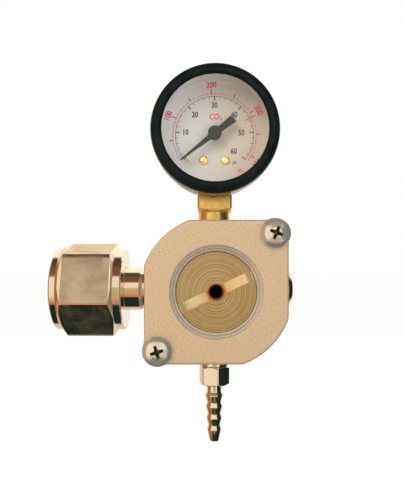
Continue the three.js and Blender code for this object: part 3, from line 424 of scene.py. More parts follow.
def fill_grain(tree, given):
    """Fine sand-cast grain: small lumps from noise, with pits between cells."""
    place = object_places(tree)
    lumps = noise(tree, place, given["Scale"], 3.0, 0.6)
    cells = node(tree, "ShaderNodeTexVoronoi",
                 {"Vector": place, "Scale": given["Scale"]}).outputs["Distance"]
    height = calculate(tree, "ADD", lumps, calculate(tree, "MULTIPLY", cells, 0.5))
    wide = noise(tree, place, 90.0, 3.0, 0.55)
    return {"Height": height, "Shade": lumps, "Patches": between(tree, wide, 0.35, 0.65)}


def fill_smudges(tree, given):
    """Handling marks: wide soft patches, and small spots of tarnish."""
    place = object_places(tree)
    wide = between(tree, noise(tree, place, given["Scale"], 4.0, 0.6, 0.6), 0.38, 0.68)
    spots = between(tree, noise(tree, place, 900.0, 2.0, 0.6), 0.66, 0.74)
    thin = between(tree, noise(tree, place, given["Scale"], 6.0, 0.7, 1.5), 0.56, 0.72)
    return {"Patches": wide, "Spots": calculate(tree, "MULTIPLY", spots, thin), "Stain": thin}


def fill_turning(tree, given):
    """Turning marks: noise read along the distance from an axis, so that each mark is a ring."""
    offset = node(tree, "ShaderNodeVectorMath", {0: object_places(tree), 1: given["Centre"]},
                  operation="SUBTRACT")
    flat = node(tree, "ShaderNodeVectorMath", {0: offset.outputs[0], 1: given["Across"]},
                operation="MULTIPLY")
    distance = node(tree, "ShaderNodeVectorMath", {0: flat.outputs[0]}, operation="LENGTH").outputs["Value"]
    line = node(tree, "ShaderNodeCombineXYZ", {"X": distance})
    marks = noise(tree, line.outputs[0], given["Scale"], 3.0, 0.7)
    return {"Height": marks, "Rings": between(tree, marks, 0.4, 0.6)}


def fill_brushing(tree, given):
    """Brushing or turning lines on a side: noise stretched by a different scale along each axis."""
    stretched = node(tree, "ShaderNodeVectorMath", {0: object_places(tree), 1: given["Stretch"]},
                     operation="MULTIPLY")
    lines = noise(tree, stretched.outputs[0], 1.0, 3.0, 0.65)
    return {"Height": lines, "Lines": between(tree, lines, 0.35, 0.65)}


cast_grain = shader_group("cast grain", [("Scale", FLOAT, 2500.0)],
                          [("Height", FLOAT), ("Shade", FLOAT), ("Patches", FLOAT)], fill_grain)
smudges = shader_group("smudges", [("Scale", FLOAT, 120.0)],
                       [("Patches", FLOAT), ("Spots", FLOAT), ("Stain", FLOAT)], fill_smudges)
turning_marks = shader_group("turning marks",
                             [("Centre", VECTOR, (0, 0, 0)), ("Across", VECTOR, (1, 1, 1)),
                              ("Scale", FLOAT, 2000.0)],
                             [("Height", FLOAT), ("Rings", FLOAT)], fill_turning)
brushing = shader_group("brushing", [("Stretch", VECTOR, (100, 100, 100))],
                        [("Height", FLOAT), ("Lines", FLOAT)], fill_brushing)


def use(tree, group, **inputs):
    made = tree.nodes.new("ShaderNodeGroup")
    made.node_tree = group
    for name, value in inputs.items():
        made.inputs[name].default_value = value
    return made.outputs


def surface(name, **sockets):
    """A material with a Principled shader; each keyword names one of its sockets."""
    material = bpy.data.materials.new(name)
    material.use_nodes = True
    tree = material.node_tree
    shader = tree.nodes["Principled BSDF"]
    for label, value in sockets.items():
        shader.inputs[label.replace("_", " ")].default_value = value
    return material, tree, shader


def bump(tree, shader, height, distance, strength=1.0):
    made = node(tree, "ShaderNodeBump", {"Height": height, "Distance": distance * MM, "Strength": strength})
    tree.links.new(made.outputs["Normal"], shader.inputs["Normal"])


def polished(name, light, dark, rough=0.07, tarnish=0.35, scale=140.0, stretch=None, depth=0.0015,
             metallic=1.0):
    """A polished plated metal: bright, with faint smudges, tarnish spots and fine lines."""
    material, tree, shader = surface(name, Metallic=metallic)
    marks = use(tree, smudges, Scale=scale)
    amount = calculate(tree, "MULTIPLY", marks["Stain"], tarnish)
    colour = mix_colour(tree, amount, (*light, 1), (*dark, 1))
    colour = mix_colour(tree, calculate(tree, "MULTIPLY", marks["Spots"], 0.8), colour,
                        (*[c * 0.4 for c in dark], 1))
    tree.links.new(colour, shader.inputs["Base Color"])
    tree.links.new(between(tree, marks["Patches"], 0, 1, rough, rough * 1.9), shader.inputs["Roughness"])
    if stretch:
        bump(tree, shader, use(tree, brushing, Stretch=stretch)["Height"], depth)
    return material


def turned_metal(name, light, dark, centre, across, rough=0.22, scale=2600.0, depth=0.006, metallic=1.0):
    """A turned metal: rings round an axis, in both its height and its colour."""
    material, tree, shader = surface(name, Metallic=metallic)
    marks = use(tree, turning_marks, Centre=[c * MM for c in centre], Across=across, Scale=scale)
    dirt = use(tree, smudges, Scale=160.0)
    colour = mix_colour(tree, marks["Rings"], (*dark, 1), (*light, 1))
    colour = mix_colour(tree, calculate(tree, "MULTIPLY", dirt["Stain"], 0.25), colour,
                        (*[c * 0.6 for c in dark], 1))
    tree.links.new(colour, shader.inputs["Base Color"])
    tree.links.new(between(tree, dirt["Patches"], 0, 1, rough, rough * 1.5), shader.inputs["Roughness"])
    bump(tree, shader, marks["Height"], depth)
    return material


def plain(name, light, dark, metallic=0.0, rough=0.4, scale=600.0, depth=0.0, spread=0.25, shine=0.5):
    """A plain finish whose colour and roughness vary a little over the surface."""
    material, tree, shader = surface(name, Metallic=metallic, Specular_IOR_Level=shine)
    shade = noise(tree, object_places(tree), scale, 4.0, 0.6)
    tree.links.new(mix_colour(tree, between(tree, shade, 0.35, 0.65), (*dark, 1), (*light, 1)),
                   shader.inputs["Base Color"])
    tree.links.new(between(tree, shade, 0.3, 0.7, rough * (1 - spread), rough * (1 + spread)),
                   shader.inputs["Roughness"])
    if depth:
        bump(tree, shader, shade, depth)
    return material


# ---------------------------------------------------------------- finishes
def satin_casting():
    """Zinc casting under a satin plating: a fine even grain, a little paler on its high spots."""
    material, tree, shader = surface("satin casting", Metallic=0.75)
    grain = use(tree, cast_grain, Scale=2300.0)
    colour = mix_colour(tree, between(tree, grain["Shade"], 0.35, 0.65), (0.57, 0.44, 0.305, 1),
                        (0.75, 0.605, 0.445, 1))
    colour = mix_colour(tree, calculate(tree, "MULTIPLY", grain["Patches"], 0.35), colour,
                        (0.68, 0.52, 0.36, 1))
    tree.links.new(colour, shader.inputs["Base Color"])
    tree.links.new(between(tree, grain["Shade"], 0.3, 0.7, 0.5, 0.38), shader.inputs["Roughness"])
    bump(tree, shader, grain["Height"], 0.03)
    return material


def dial_enamel():
    """The dial's cream enamel with painted light across it: paler and a touch cooler at its left, darker and
    warmer towards its right.
    """
    material, tree, shader = surface("dial enamel with painted light", Roughness=0.42)
    place = node(tree, "ShaderNodeSeparateXYZ", {0: object_places(tree)})
    # Painted light: the colour goes from a pale cool left to a darker warm right, as if light fell across the
    # dial from the left.
    side = between(tree, place.outputs["X"], (BODY_X - 18) * MM, (BODY_X + 9) * MM)
    colour = mix_colour(tree, side, (0.54, 0.54, 0.565, 1), (0.41, 0.345, 0.27, 1))
    cloud = noise(tree, object_places(tree), 130.0, 3.0, 0.5)
    colour = mix_colour(tree, between(tree, cloud, 0.4, 0.7, 0.0, 0.25), colour, (0.42, 0.37, 0.31, 1))
    tree.links.new(colour, shader.inputs["Base Color"])
    return material


def clear_lens():
    """Clear acrylic. Shadow and scattered rays pass straight through, so that the dial is lit."""
    material, tree, shader = surface("clear lens", Base_Color=(0.985, 0.99, 0.985, 1),
                                     Transmission_Weight=1.0, IOR=1.3)
    mist = noise(tree, object_places(tree), 60.0, 3.0, 0.6)
    tree.links.new(between(tree, mist, 0.4, 0.7, 0.0, 0.03), shader.inputs["Roughness"])
    clear = node(tree, "ShaderNodeBsdfTransparent")
    path = node(tree, "ShaderNodeLightPath").outputs
    passing = calculate(tree, "MAXIMUM", path["Is Shadow Ray"], path["Is Diffuse Ray"])
    mixed = node(tree, "ShaderNodeMixShader", {0: passing})
    tree.links.new(shader.outputs[0], mixed.inputs[1])
    tree.links.new(clear.outputs[0], mixed.inputs[2])
    tree.links.new(mixed.outputs[0], tree.nodes["Material Output"].inputs["Surface"])
    return material


NICKEL, NICKEL_DARK = (0.86, 0.80, 0.72), (0.50, 0.36, 0.26)
ZINC, ZINC_DARK = (0.74, 0.73, 0.64), (0.40, 0.41, 0.32)
BRASS, BRASS_DARK = (0.95, 0.72, 0.31), (0.62, 0.40, 0.15)

finishes = {
    "satin_casting": satin_casting(),
    "polished_nickel": polished("polished nickel", NICKEL, NICKEL_DARK, stretch=(60, 1500, 1500)),
    "barb_nickel": polished("hose barb nickel", NICKEL, NICKEL_DARK, rough=0.06, tarnish=0.2,
                            stretch=(900, 900, 60)),
    "plated_screw": polished("plated screw", ZINC, ZINC_DARK, rough=0.15, tarnish=0.5, scale=500.0,
                             metallic=0.85),
    "turned_brass": turned_metal("turned brass", (0.74, 0.64, 0.46), (0.46, 0.36, 0.22), BODY_AXIS,
                                 (1, 0, 1), depth=0.012),
    "machined_casting": turned_metal("machined casting", (0.84, 0.74, 0.60), (0.36, 0.30, 0.24), BODY_AXIS,
                                     (1, 0, 1), rough=0.2,
                                     metallic=0.62),
    "drawn_nickel": polished("drawn nickel", (0.60, 0.52, 0.43), (0.36, 0.20, 0.14), rough=0.26,
                             tarnish=0.6, scale=150.0,
                             stretch=(1500, 60, 60), depth=0.003),
    # Painted shade: near-black colour for the inside of the screws' cross recesses.
    "painted_shade_in_recess": plain("painted shade in recess", (0.13, 0.125, 0.09), (0.045, 0.045, 0.03), 0.6, 0.4, 1800.0),
    # Painted reflection: the brass chamfer round the vent is coloured copper for the pinkish light it
    # reflects.
    "vent_edge_painted_reflection": polished("vent edge with painted reflection", (0.70, 0.36, 0.16), (0.36, 0.14, 0.05), rough=0.25),
    # Painted shade: near-black for surfaces deep behind the plug's vent, so that the vent reads black.
    "painted_shade_bore": plain("painted shade in bore", (0.05, 0.035, 0.02), (0.02, 0.014, 0.01), 0.3, 0.6, 700.0, shine=0.1),
    "slot_brass": polished("milled slot", (0.90, 0.76, 0.52), (0.66, 0.47, 0.24), rough=0.2),
    "plain_brass": polished("plain brass", BRASS, BRASS_DARK, rough=0.24, tarnish=0.7, scale=260.0,
                            stretch=(2400, 2400, 60), depth=0.004),
    "spring_steel": plain("spring steel", (0.42, 0.42, 0.42), (0.22, 0.22, 0.23), 1.0, 0.3, 900.0),
    "rubber": plain("black rubber", (0.035, 0.035, 0.035), (0.015, 0.015, 0.015), 0.0, 0.65, 1500.0, 0.01),
    "red_fibre": plain("red fibre", (0.42, 0.07, 0.045), (0.22, 0.03, 0.02), 0.0, 0.75, 1800.0, 0.03),
    "white_nylon": plain("white nylon", (0.80, 0.79, 0.74), (0.66, 0.65, 0.60), 0.0, 0.45, 700.0),
    "sintered_bronze": plain("sintered bronze", (0.48, 0.27, 0.12), (0.14, 0.07, 0.03), 1.0, 0.55, 3800.0,
                             0.08),
    "phosphor_bronze": plain("phosphor bronze", (0.66, 0.38, 0.20), (0.46, 0.25, 0.12), 1.0, 0.28, 800.0),
    "black_gloss": plain("black gloss", (0.006, 0.010, 0.010), (0.003, 0.005, 0.005), 0.0, 0.10, 220.0,
                         shine=0.08),
    "case_lacquer": polished("case lacquer", (0.62, 0.49, 0.31), (0.42, 0.30, 0.16), rough=0.3, tarnish=0.4,
                             scale=200.0),
    "gauge_glass": clear_lens(),
    "dial_face": dial_enamel(),
    "pointer_black": plain("pointer black", (0.022, 0.028, 0.028), (0.012, 0.016, 0.016), 0.0, 0.38, 900.0,
                           shine=0.2),
    "print_black": plain("black print", (0.06, 0.06, 0.065), (0.035, 0.035, 0.04), 0.0, 0.5, 500.0),
    "print_red": plain("red print", (0.62, 0.05, 0.08), (0.48, 0.03, 0.06), 0.0, 0.5, 500.0),
}


# ---------------------------------------------------------------- block: body and bonnet
HALF = 21.7
ROUND_CORNER = HALF + 1.4
SCREW_OFFSET = HALF - 4.3
EAR = 4.9
OUTLINE_COLUMNS = 360


def block_outline(inset):
    """The block's outline seen from the front, moved in by inset, as (a, b) points.

    A ray from the centre stops at a flat side, at the round-off circle in two corners, or at the far side of
    the ear round a cover screw, which is p + sqrt(p^2 - c^2 + r^2) for the ray's share p of the way to the
    ear's centre c. Flats, circle and ears all shrink by the inset, so the outlines stay parallel.
    """
    across = circle(OUTLINE_COLUMNS)
    near, far = np.sort(np.abs(across), axis=1).T
    screw_corner = across[:, 0] * across[:, 1] > 0
    side, ear_radius = HALF - inset, EAR - inset
    reach = side / far
    reach = np.where(screw_corner, reach, np.minimum(reach, ROUND_CORNER - inset))
    toward = (near + far) * SCREW_OFFSET
    ear = toward + np.sqrt(np.maximum(toward**2 - 2 * SCREW_OFFSET**2 + ear_radius**2, 0))
    ear_foot = SCREW_OFFSET - math.sqrt(ear_radius**2 - (side - SCREW_OFFSET) ** 2)
    reach = np.where(screw_corner & (near / far > ear_foot / side), ear, reach)
    for _ in range(2):
        reach = (np.roll(reach, 1) + 2 * reach + np.roll(reach, -1)) / 4
    return across * reach[:, None]


def outline_rows(section):
    """Loops of the block's outline, each moved in by the section point's first number."""
    section = np.asarray(section, float)
    return np.stack([block_outline(inset) for inset in section[:, 0]]), section[:, 1]


def port(axis, radius, first, last, columns=64):
    """A round hole along an axis through the body's centre."""
    return turned([(0, first), (radius, first), (radius, last), (0, last)], axis, BODY_AXIS, columns)


def body_piece():
    """The cast block: the outline carried back with rounded edges, hollowed by its chamber and valve bore."""
    outside = rounded([(1, JOINT_Y), (0, JOINT_Y, 0.3), (0.25, BODY_BACK, 1.5), (2.4, BODY_BACK)],
                      closed=False)
    chamber = rounded([(0, BODY_BACK), (0, 6.5), (5, 6.5, 0.6), (5, -8), (14.5, -8, 0.5),
                       (14.5, JOINT_Y, 0.2)], closed=False)
    rows = join_rows(outline_rows(outside), round_rows(chamber, OUTLINE_COLUMNS))
    piece = solid("body_finished", carried(rows, "y", BODY_AXIS))
    carve(piece, port("x", 6.55, -24, -11.9), port("x", 4.6, 12.2, 24), port("z", 5.0, 12.2, 24),
          port("z", 4.6, -24, -12.2))
    return finish_piece(piece, finishes["satin_casting"])


def bonnet_piece():
    """The cast cover: rounded front edge, machined countersink, threaded hole and a wider space behind it."""
    thread_end = -14.6
    hole, mouth = 12.15, 14.0
    thread_start = BONNET_FRONT + mouth - hole
    front = rounded([(0.9, BONNET_BACK, 0), (0, BONNET_BACK, 0.2), (0.3, BONNET_FRONT, 0.75),
                     (1.6, BONNET_FRONT)], closed=False)
    sink = rounded([(15.5, BONNET_FRONT), (mouth, BONNET_FRONT, 0.25), (hole, thread_start)], closed=False)
    pitch = 1.25
    places = np.linspace(thread_start, thread_end, 61)[1:-1]
    thread = thread_rows(round_rows(np.stack([np.full_like(places, hole), places], -1), OUTLINE_COLUMNS),
                         pitch, 0.6, thread_start, thread_end)
    back = rounded([(hole, thread_end), (14.5, -14.05), (14.5, -11.45), (18.9, -11.45),
                    (18.9, BONNET_BACK)], closed=False)
    rows = join_rows(outline_rows(front), round_rows(sink, OUTLINE_COLUMNS), thread,
                     round_rows(back, OUTLINE_COLUMNS))
    piece = solid("bonnet_finished", carried(rows, "y", BODY_AXIS))
    holes = []
    for side in (1, -1):
        spot = (BODY_X + side * SCREW_OFFSET, 0, side * SCREW_OFFSET)
        holes.append(turned([(0, -30), (2.15, -30), (2.15, -5), (0, -5)], "y", spot, 48))
    carve(piece, *holes)
    finish_piece(piece, finishes["satin_casting"])
    centres, _ = face_data(piece)
    reach = np.hypot(centres[:, 0] - BODY_X, centres[:, 2])
    second_finish(piece, "machined_casting", (reach < mouth - 0.02) & (centres[:, 1] > BONNET_FRONT + 0.02))
    return piece


def cross_outline(span, width, nick):
    """A cross with four wings, its inner corners cut across by a small nick."""
    wing = [(span / 2, -width / 2), (span / 2, width / 2), (width / 2 + nick, width / 2),
            (width / 2, width / 2 + nick)]
    points = []
    for quarter in range(4):
        turn = quarter * math.pi / 2
        for a, b in wing:
            points.append((a * math.cos(turn) - b * math.sin(turn),
                           a * math.sin(turn) + b * math.cos(turn)))
    return np.array(points)


def turned_outline(outline, degrees):
    """An outline turned about its origin, clockwise seen from the front."""
    angle = math.radians(degrees)
    matrix = np.array([[math.cos(angle), math.sin(angle)], [-math.sin(angle), math.cos(angle)]])
    return np.asarray(outline) @ matrix


def cover_screw(name, side, turn):
    """A pan-head screw with a cross recess and a threaded shank."""
    front, back = ends(name, "y")
    seat = BONNET_FRONT - 0.05
    spot = (BODY_X + side * SCREW_OFFSET, 0, side * SCREW_OFFSET)
    head = rounded([(0, front), (1.5, front + 0.06, 1.5), (3.3, front + 0.75, 2.0),
                    (4.55, front + 1.75, 0.8), (4.55, seat, 0.12),
                    (2.05, seat)], closed=False, steps=6)
    places = np.linspace(seat, back - 0.8, 90)[1:-1]
    shank = thread_rows(round_rows(np.stack([np.full_like(places, 2.0), places], -1), 64), 0.7, -0.33,
                        seat + 1.5, back - 0.4, 0.4)
    point = round_rows([(1.3, back - 0.05), (0, back)], 64)
    piece = solid(f"{name}_finished", carried(join_rows(round_rows(head, 64), shank, point), "y", spot))
    wings = turned_outline(cross_outline(5.0, 1.15, 0.35), turn)
    carve(piece, prism(wings, "y", spot, front - 0.5, front + 2.1, 0.3))
    soften(piece, 0.05, 1, 50)
    finish_piece(piece, finishes["plated_screw"], stands_for=name)
    centres, _ = face_data(piece)
    reach = np.hypot(centres[:, 0] - spot[0], centres[:, 2] - spot[2])
    dome = np.interp(reach, head[:18, 0], head[:18, 1])
    # Painted shade: the faces inside the cross recess get a near-black finish in place of the plating.
    second_finish(piece, "painted_shade_in_recess",
                  (reach < 2.7) & (centres[:, 1] > dome + 0.12) & (centres[:, 1] < front + 2.2))
    return piece


# ---------------------------------------------------------------- adjusting screw and its springs
SCREW_FACE, SCREW_END = ends("adjusting_screw", "y")
SCREW_RADIUS = half_width("adjusting_screw", "x")
VENT = 1.95
SLOT_TURN = 25
RING_PITCH = 0.95


def adjusting_screw():
    """The slotted plug. Its face carries turned rings, each deep * (1 - (2 share - 1)^2) across.

    The depth is 0.012 + 0.03 exp(-((r - 5.5) / 2.2)^2), so the rings are deepest at radius 5.5.
    """
    ring_from, ring_to = 2.7, 11.3
    radii = np.linspace(ring_to, ring_from, 90)
    share = np.mod((radii - ring_from) / RING_PITCH, 1)
    deep = 0.012 + 0.03 * np.exp(-((radii - 5.5) / 2.2) ** 2)
    rings = np.stack([radii, SCREW_FACE + deep * (1 - (2 * share - 1) ** 2)], axis=-1)
    face = np.concatenate([[(SCREW_RADIUS - 0.45, SCREW_FACE + 0.02)], rings,
                           [(VENT + 0.5, SCREW_FACE), (VENT, SCREW_FACE + 0.5)]])
    cup = SCREW_FACE + 3.2
    inside = rounded([(VENT, cup), (9.6, cup, 0.5), (9.6, SCREW_END, 0.2), (SCREW_RADIUS - 0.6, SCREW_END),
                      (SCREW_RADIUS, SCREW_END - 0.6)], closed=False)
    places = np.linspace(SCREW_END - 0.6, SCREW_FACE + 0.45, 55)
    side = thread_rows(round_rows(np.stack([np.full_like(places, SCREW_RADIUS), places], -1), 144), 1.25,
                       -0.55,
                       SCREW_FACE + 0.6, SCREW_END - 0.5)
    rows = join_rows(round_rows(face, 144), round_rows(inside, 144), side)
    piece = solid("adjusting_screw_finished", carried(rows, "y", BODY_AXIS))
    length, depth, width = 20.5, 1.9, 3.0
    saw = (length**2 / 4 + depth**2) / (2 * depth)
    blade = circle(180) * saw
    along = math.radians(SLOT_TURN)
    points = []
    for way in (-1, 1):
        local = np.stack([blade[:, 0], np.full(180, way * width / 2), blade[:, 1]], axis=-1)
        x = local[:, 0] * math.cos(along) - local[:, 1] * math.sin(along) + BODY_X
        z = local[:, 0] * math.sin(along) + local[:, 1] * math.cos(along)
        points.append(np.stack([x, local[:, 2] + SCREW_FACE + depth - saw, z], axis=-1))
    sides = grid_faces(2, 180, False).tolist()
    slot = (np.concatenate(points), sides + [list(range(180)), list(range(180, 360))])
    floor = SCREW_FACE + depth
    ring = turned([(0, floor - 0.35), (VENT + 0.5, floor - 0.35), (VENT + 0.5, floor - 0.1),
                   (VENT, floor + 0.4), (0, floor + 0.4)],
                  "y", BODY_AXIS, 96)
    carve(piece, slot, ring)
    finish_piece(piece, finishes["turned_brass"], "adjuster")
    centres, _ = face_data(piece)
    across, up = centres[:, 0] - BODY_X, centres[:, 2]
    off = np.abs(up * math.cos(along) - across * math.sin(along))
    reach = np.hypot(across, up)
    second_finish(piece, "slot_brass",
                  (off < width / 2 + 0.01) & (centres[:, 1] > SCREW_FACE + 0.08) & (centres[:,
                          1] < floor + 0.1))
    # Painted reflection: the chamfer round the vent gets a copper colour.
    second_finish(piece, "vent_edge_painted_reflection", (reach < VENT + 0.55) & (centres[:, 1] < floor + 0.6))
    # Painted shade: the cup inside the plug, seen through the vent, is near-black instead of brass.
    second_finish(piece, "painted_shade_bore", (reach < 9.7) & (centres[:, 1] > floor + 0.6))
    return piece


def spring(name, radius, wire, turns, axis, origin, anchor):
    """A wire spring between its CAD ends."""
    first, last = ends(name, axis)
    offset = origin["xyz".index(axis)]
    piece = solid(f"{name}_finished",
                  coil(radius, wire, first - offset, last - offset, turns, axis, origin))
    finish_piece(piece, finishes["spring_steel"])
    at = [value * MM for value in origin]
    at["xyz".index(axis)] = anchor * MM
    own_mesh(piece)
    return piece


# ---------------------------------------------------------------- inlet
NUT_FLAT = 28.575 / 2
NUT_TURN = math.radians(180 - 14.9)


def inlet_nut():
    """The cylinder nut: a hexagon with turned cones and rings at both ends, and a thread inside."""
    mouth, end = ends("inlet_nut", "x")
    ring, corner = 13.9, 16.35
    outside = [(ring - 0.4, mouth, 0), (ring, mouth + 0.4, 0.3), (ring, mouth + 2.2, 0.25),
               (corner, mouth + 4.2, 0.3),
               (corner, end - 3.8, 0.3), (ring, end - 2.7, 0.25), (ring, end - 0.4, 0.3),
               (ring - 0.4, end, 0),
               (7.75, end, 0), (7.4, end - 0.35, 0)]
    bore, shoulder, pitch = 9.9, 4.35, 1.814
    outer = rounded(outside, closed=False, steps=4)
    flats = np.where((outer[:, 1] > mouth + 2.15) & (outer[:, 1] < end - 2.65), NUT_FLAT, np.inf)
    places = np.arange(shoulder - 1.2, mouth + 0.9, -pitch / 8)
    inner = np.concatenate([[(7.4, shoulder), (bore, shoulder)],
                            np.stack([np.full_like(places, bore), places], -1),
                            [(bore, mouth + 0.8), (10.65, mouth)]])
    groove = thread_rows(flat_rows(inner, np.inf, turn=NUT_TURN), pitch, 0.75, mouth + 0.3, shoulder - 0.9)
    rows = join_rows(flat_rows(outer, flats, turn=NUT_TURN), groove)
    piece = solid("inlet_nut_finished", carried(rows, "x", (0, 0, 0)))
    finish_piece(piece, finishes["polished_nickel"], "nut")
    centres, normals = face_data(piece)
    facing = centres[:, 1] * normals[:, 1] + centres[:, 2] * normals[:, 2]
    flat = (np.abs(normals[:, 0]) < 0.02) & (np.abs(facing - NUT_FLAT) < 0.02) & (np.hypot(centres[:, 1],
            centres[:, 2]) > 14)
    second_finish(piece, "drawn_nickel", flat)
    return piece


def inlet_nipple():
    """The round tail that the nut turns on: flange inside the nut, barrel, cone and the body's thread."""
    face, end = ends("inlet_nipple", "x")
    side = BODY_X - HALF
    section = rounded([(3.78, face, 0.2), (9.2, face, 0.5), (9.2, face + 2.5, 0.2), (7.25, face + 2.5, 0.3),
                       (7.25, side - 3.8, 0.5),
                       (6.6, side - 2.6, 0.4), (6.6, side - 0.02, 0), (6.4, side, 0), (6.4, end, 0.6),
                       (3.0, end, 0.3),
                       (3.0, face + 6.3), (3.78, face + 6.3)], steps=5)
    piece = solid("inlet_nipple_finished", turned(section, "x", (0, 0, 0), 128))
    return finish_piece(piece, finishes["polished_nickel"])


def inlet_small_parts():
    """The red fibre washer and the sintered filter in the inlet."""
    front, back = ends("inlet_washer", "x")
    washer = rounded([(4.4, front, 0.25), (9.0, front, 0.35), (9.0, back, 0.35), (4.4, back, 0.25)])
    piece = solid("inlet_washer_finished", turned(washer, "x", (0, 0, 0), 96))
    finish_piece(piece, finishes["red_fibre"])
    front, back = ends("inlet_filter", "x")
    plug = rounded([(0, front, 0), (3.7, front, 0.4), (3.7, back, 0.2), (0, back, 0)], closed=False)
    piece = solid("inlet_filter_finished", turned(plug, "x", (0, 0, 0), 64))
    finish_piece(piece, finishes["sintered_bronze"])


# ---------------------------------------------------------------- relief valve and hose barb
def relief_housing():
    """The low round relief valve in the body's side, with its capped bore."""
    start, end = ends("relief_housing", "x")
    side = BODY_X + HALF + 0.05
    section = rounded([(2.9, end - 0.35, 0), (3.3, end, 0.15), (6.9 - 1.5, end, 1.0), (6.9, end - 1.5, 0.9),
                       (6.9, side + 0.3, 0.15),
                       (6.6, side), (4.5, side), (4.5, start, 0.4), (0.8, start), (0.8, start + 2.0),
                       (2.9, start + 2.0)], steps=5)
    piece = solid("relief_housing_finished", turned(section, "x", (0, 0, 0), 96))
    finish_piece(piece, finishes["polished_nickel"])


def hose_barb():
    """The outlet: a collar on the body, a hexagon, a neck and four ridges that grip a hose."""
    tip, top = ends("hose_barb", "z")
    base = -HALF - 0.05
    hex_top, hex_foot = base - 4.9, base - 4.9 - 6.3
    flat, corner = 9.5 / 2, 5.4
    section = [(1.1, top, 0), (4.45, top, 0.4), (4.45, base, 0), (4.9, base, 0.1), (5.1, base - 0.3, 0.2),
               (5.1, hex_top + 0.35, 0.15),
               (4.7, hex_top, 0), (flat - 0.02, hex_top, 0), (corner, hex_top - 0.45, 0.1),
               (corner, hex_foot + 0.5, 0.1),
               (flat - 0.1, hex_foot, 0), (2.95, hex_foot, 0.1), (2.6, hex_foot - 0.4, 0.15)]
    neck_end = hex_foot - 3.8
    radii = np.linspace(3.2, 2.55, 4)
    for index, radius in enumerate(radii):
        crest = neck_end - 3.95 * index
        section += [(2.6 if index == 0 else radius - 0.4, crest + 1.25, 0.3), (radius, crest + 0.25, 0.2),
                    (radius, crest, 0.15)]
        if index < 3:
            section += [(radius - 0.65, crest - 2.4, 0.3)]
    section += [(1.7, tip + 0.1, 0.1), (1.55, tip, 0), (1.1, tip, 0)]
    points = rounded(section, closed=True, steps=4)
    hexed = (points[:, 1] < hex_top + 1e-6) & (points[:, 1] > hex_foot - 1e-6)
    rows = flat_rows(points, np.where(hexed, flat, np.inf), turn=math.radians(-90 - 17.5), steps=7)
    piece = solid("hose_barb_finished", carried(rows, "z", BODY_AXIS))
    return finish_piece(piece, finishes["barb_nickel"])


# ---------------------------------------------------------------- gauge
def gauge_socket():
    """The brass shank: a square block, a round neck below it and the block inside the case."""
    foot, head = ends("gauge_socket", "z")
    base = HALF + 4.5
    top = base + 5.7
    half = half_width("gauge_socket", "x")
    corner = half * math.sqrt(2) - 0.35
    section = rounded([(1.2, foot), (4.85, foot, 0.5), (4.85, HALF), (5.4, HALF + 0.05, 0.15),
                       (5.4, base, 0.2), (half - 0.15, base),
                       (corner, base + 1.3, 0.2), (corner, top, 0.1), (3.4, top), (3.4, head - 5.0),
                       (1.2, head - 5.0)])
    squared = (section[:, 1] > base - 1e-6) & (section[:, 1] < top + 1e-6)
    rows = flat_rows(section, np.where(squared, half, np.inf), sides=4, steps=12)
    piece = solid("gauge_socket_finished", carried(rows, "z", BODY_AXIS))
    back = ends("movement_back_plate", "y")[0] - 0.05
    front = -2.2
    block = prism([(-4, front), (4, front), (4, back), (-4, back)], "z", BODY_AXIS, head - 5.6, head)
    carve(piece, block, operation="UNION")
    soften(piece, 0.12, 2, 50)
    return finish_piece(piece, finishes["plain_brass"])


def gauge_case():
    """The pressed cup: a rounded back edge, a thin wall and a rolled rim."""
    rim, back = ends("gauge_case", "y")
    radius = half_width("gauge_case", "x")
    wall = 0.9
    section = rounded([(0, back), (radius - 6, back), (radius, back, 1.8), (radius, rim, 0.3),
                       (radius - wall, rim, 0.3),
                       (radius - wall, back - wall, 1.1), (0, back - wall)], closed=True, steps=6)
    piece = solid("gauge_case_finished", turned(section, "y", GAUGE_AXIS, 160))
    hole = turned([(0, -radius - 2), (3.6, -radius - 2), (3.6, -radius + 4), (0, -radius + 4)], "z",
                  GAUGE_AXIS, 64)
    carve(piece, hole)
    return finish_piece(piece, finishes["case_lacquer"])


def gauge_bezel():
    """The glossy ring that holds the lens: a full round outside and a short slope at the window."""
    face, skirt = ends("gauge_bezel", "y")
    radius = half_width("gauge_bezel", "x")
    window = 17.25
    inner = half_width("gauge_case", "x") + 0.15
    lip = face + 1.3
    section = rounded([(window, lip, 0.1), (window + 0.05, face + 0.6, 0.3), (window + 0.75, face, 0.5),
                       (radius - 1.9, face, 1.2),
                       (radius - 0.45, face + 0.7, 1.0), (radius, face + 2.1, 1.2), (radius, skirt, 0.2),
                       (inner, skirt, 0.1),
                       (inner, lip, 0.1)], steps=6)
    piece = solid("gauge_bezel_finished", turned(section, "y", GAUGE_AXIS, 192))
    return finish_piece(piece, finishes["black_gloss"])


def disc(node_name, axis, origin, edge, columns, hole=0.0):
    """A flat round part between its CAD faces, its edges rounded."""
    first, last = ends(node_name, axis)
    radius = half_width(node_name, "x" if axis != "x" else "y")
    if hole:
        section = rounded([(hole, first, edge), (radius, first, edge), (radius, last, edge),
                           (hole, last, edge)])
    else:
        section = rounded([(0, first), (radius, first, edge), (radius, last, edge), (0, last)],
                          closed=False)
    return turned(section, axis, origin, columns)


def gauge_front():
    """Lens, its rubber ring and the dial, a shallow dish."""
    lens = solid("gauge_lens_finished", disc("gauge_lens", "y", GAUGE_AXIS, 0.2, 128))
    finish_piece(lens, finishes["gauge_glass"])
    gasket = solid("lens_gasket_finished", disc("lens_gasket", "y", GAUGE_AXIS, 0.12, 128, 18.4))
    finish_piece(gasket, finishes["rubber"])
    rim_front, back = ends("gauge_dial", "y")
    radius = half_width("gauge_dial", "x")
    dish = rounded([(1.05, DIAL_FRONT, 0.05), (radius - 0.5, DIAL_FRONT, 0.5),
                    (radius - 0.5, rim_front, 0.1),
                    (radius, rim_front, 0.1), (radius, back, 0.2), (1.05, back, 0.05)])
    dial = solid("gauge_dial_finished", turned(dish, "y", GAUGE_AXIS, 160))
    finish_piece(dial, finishes["dial_face"])


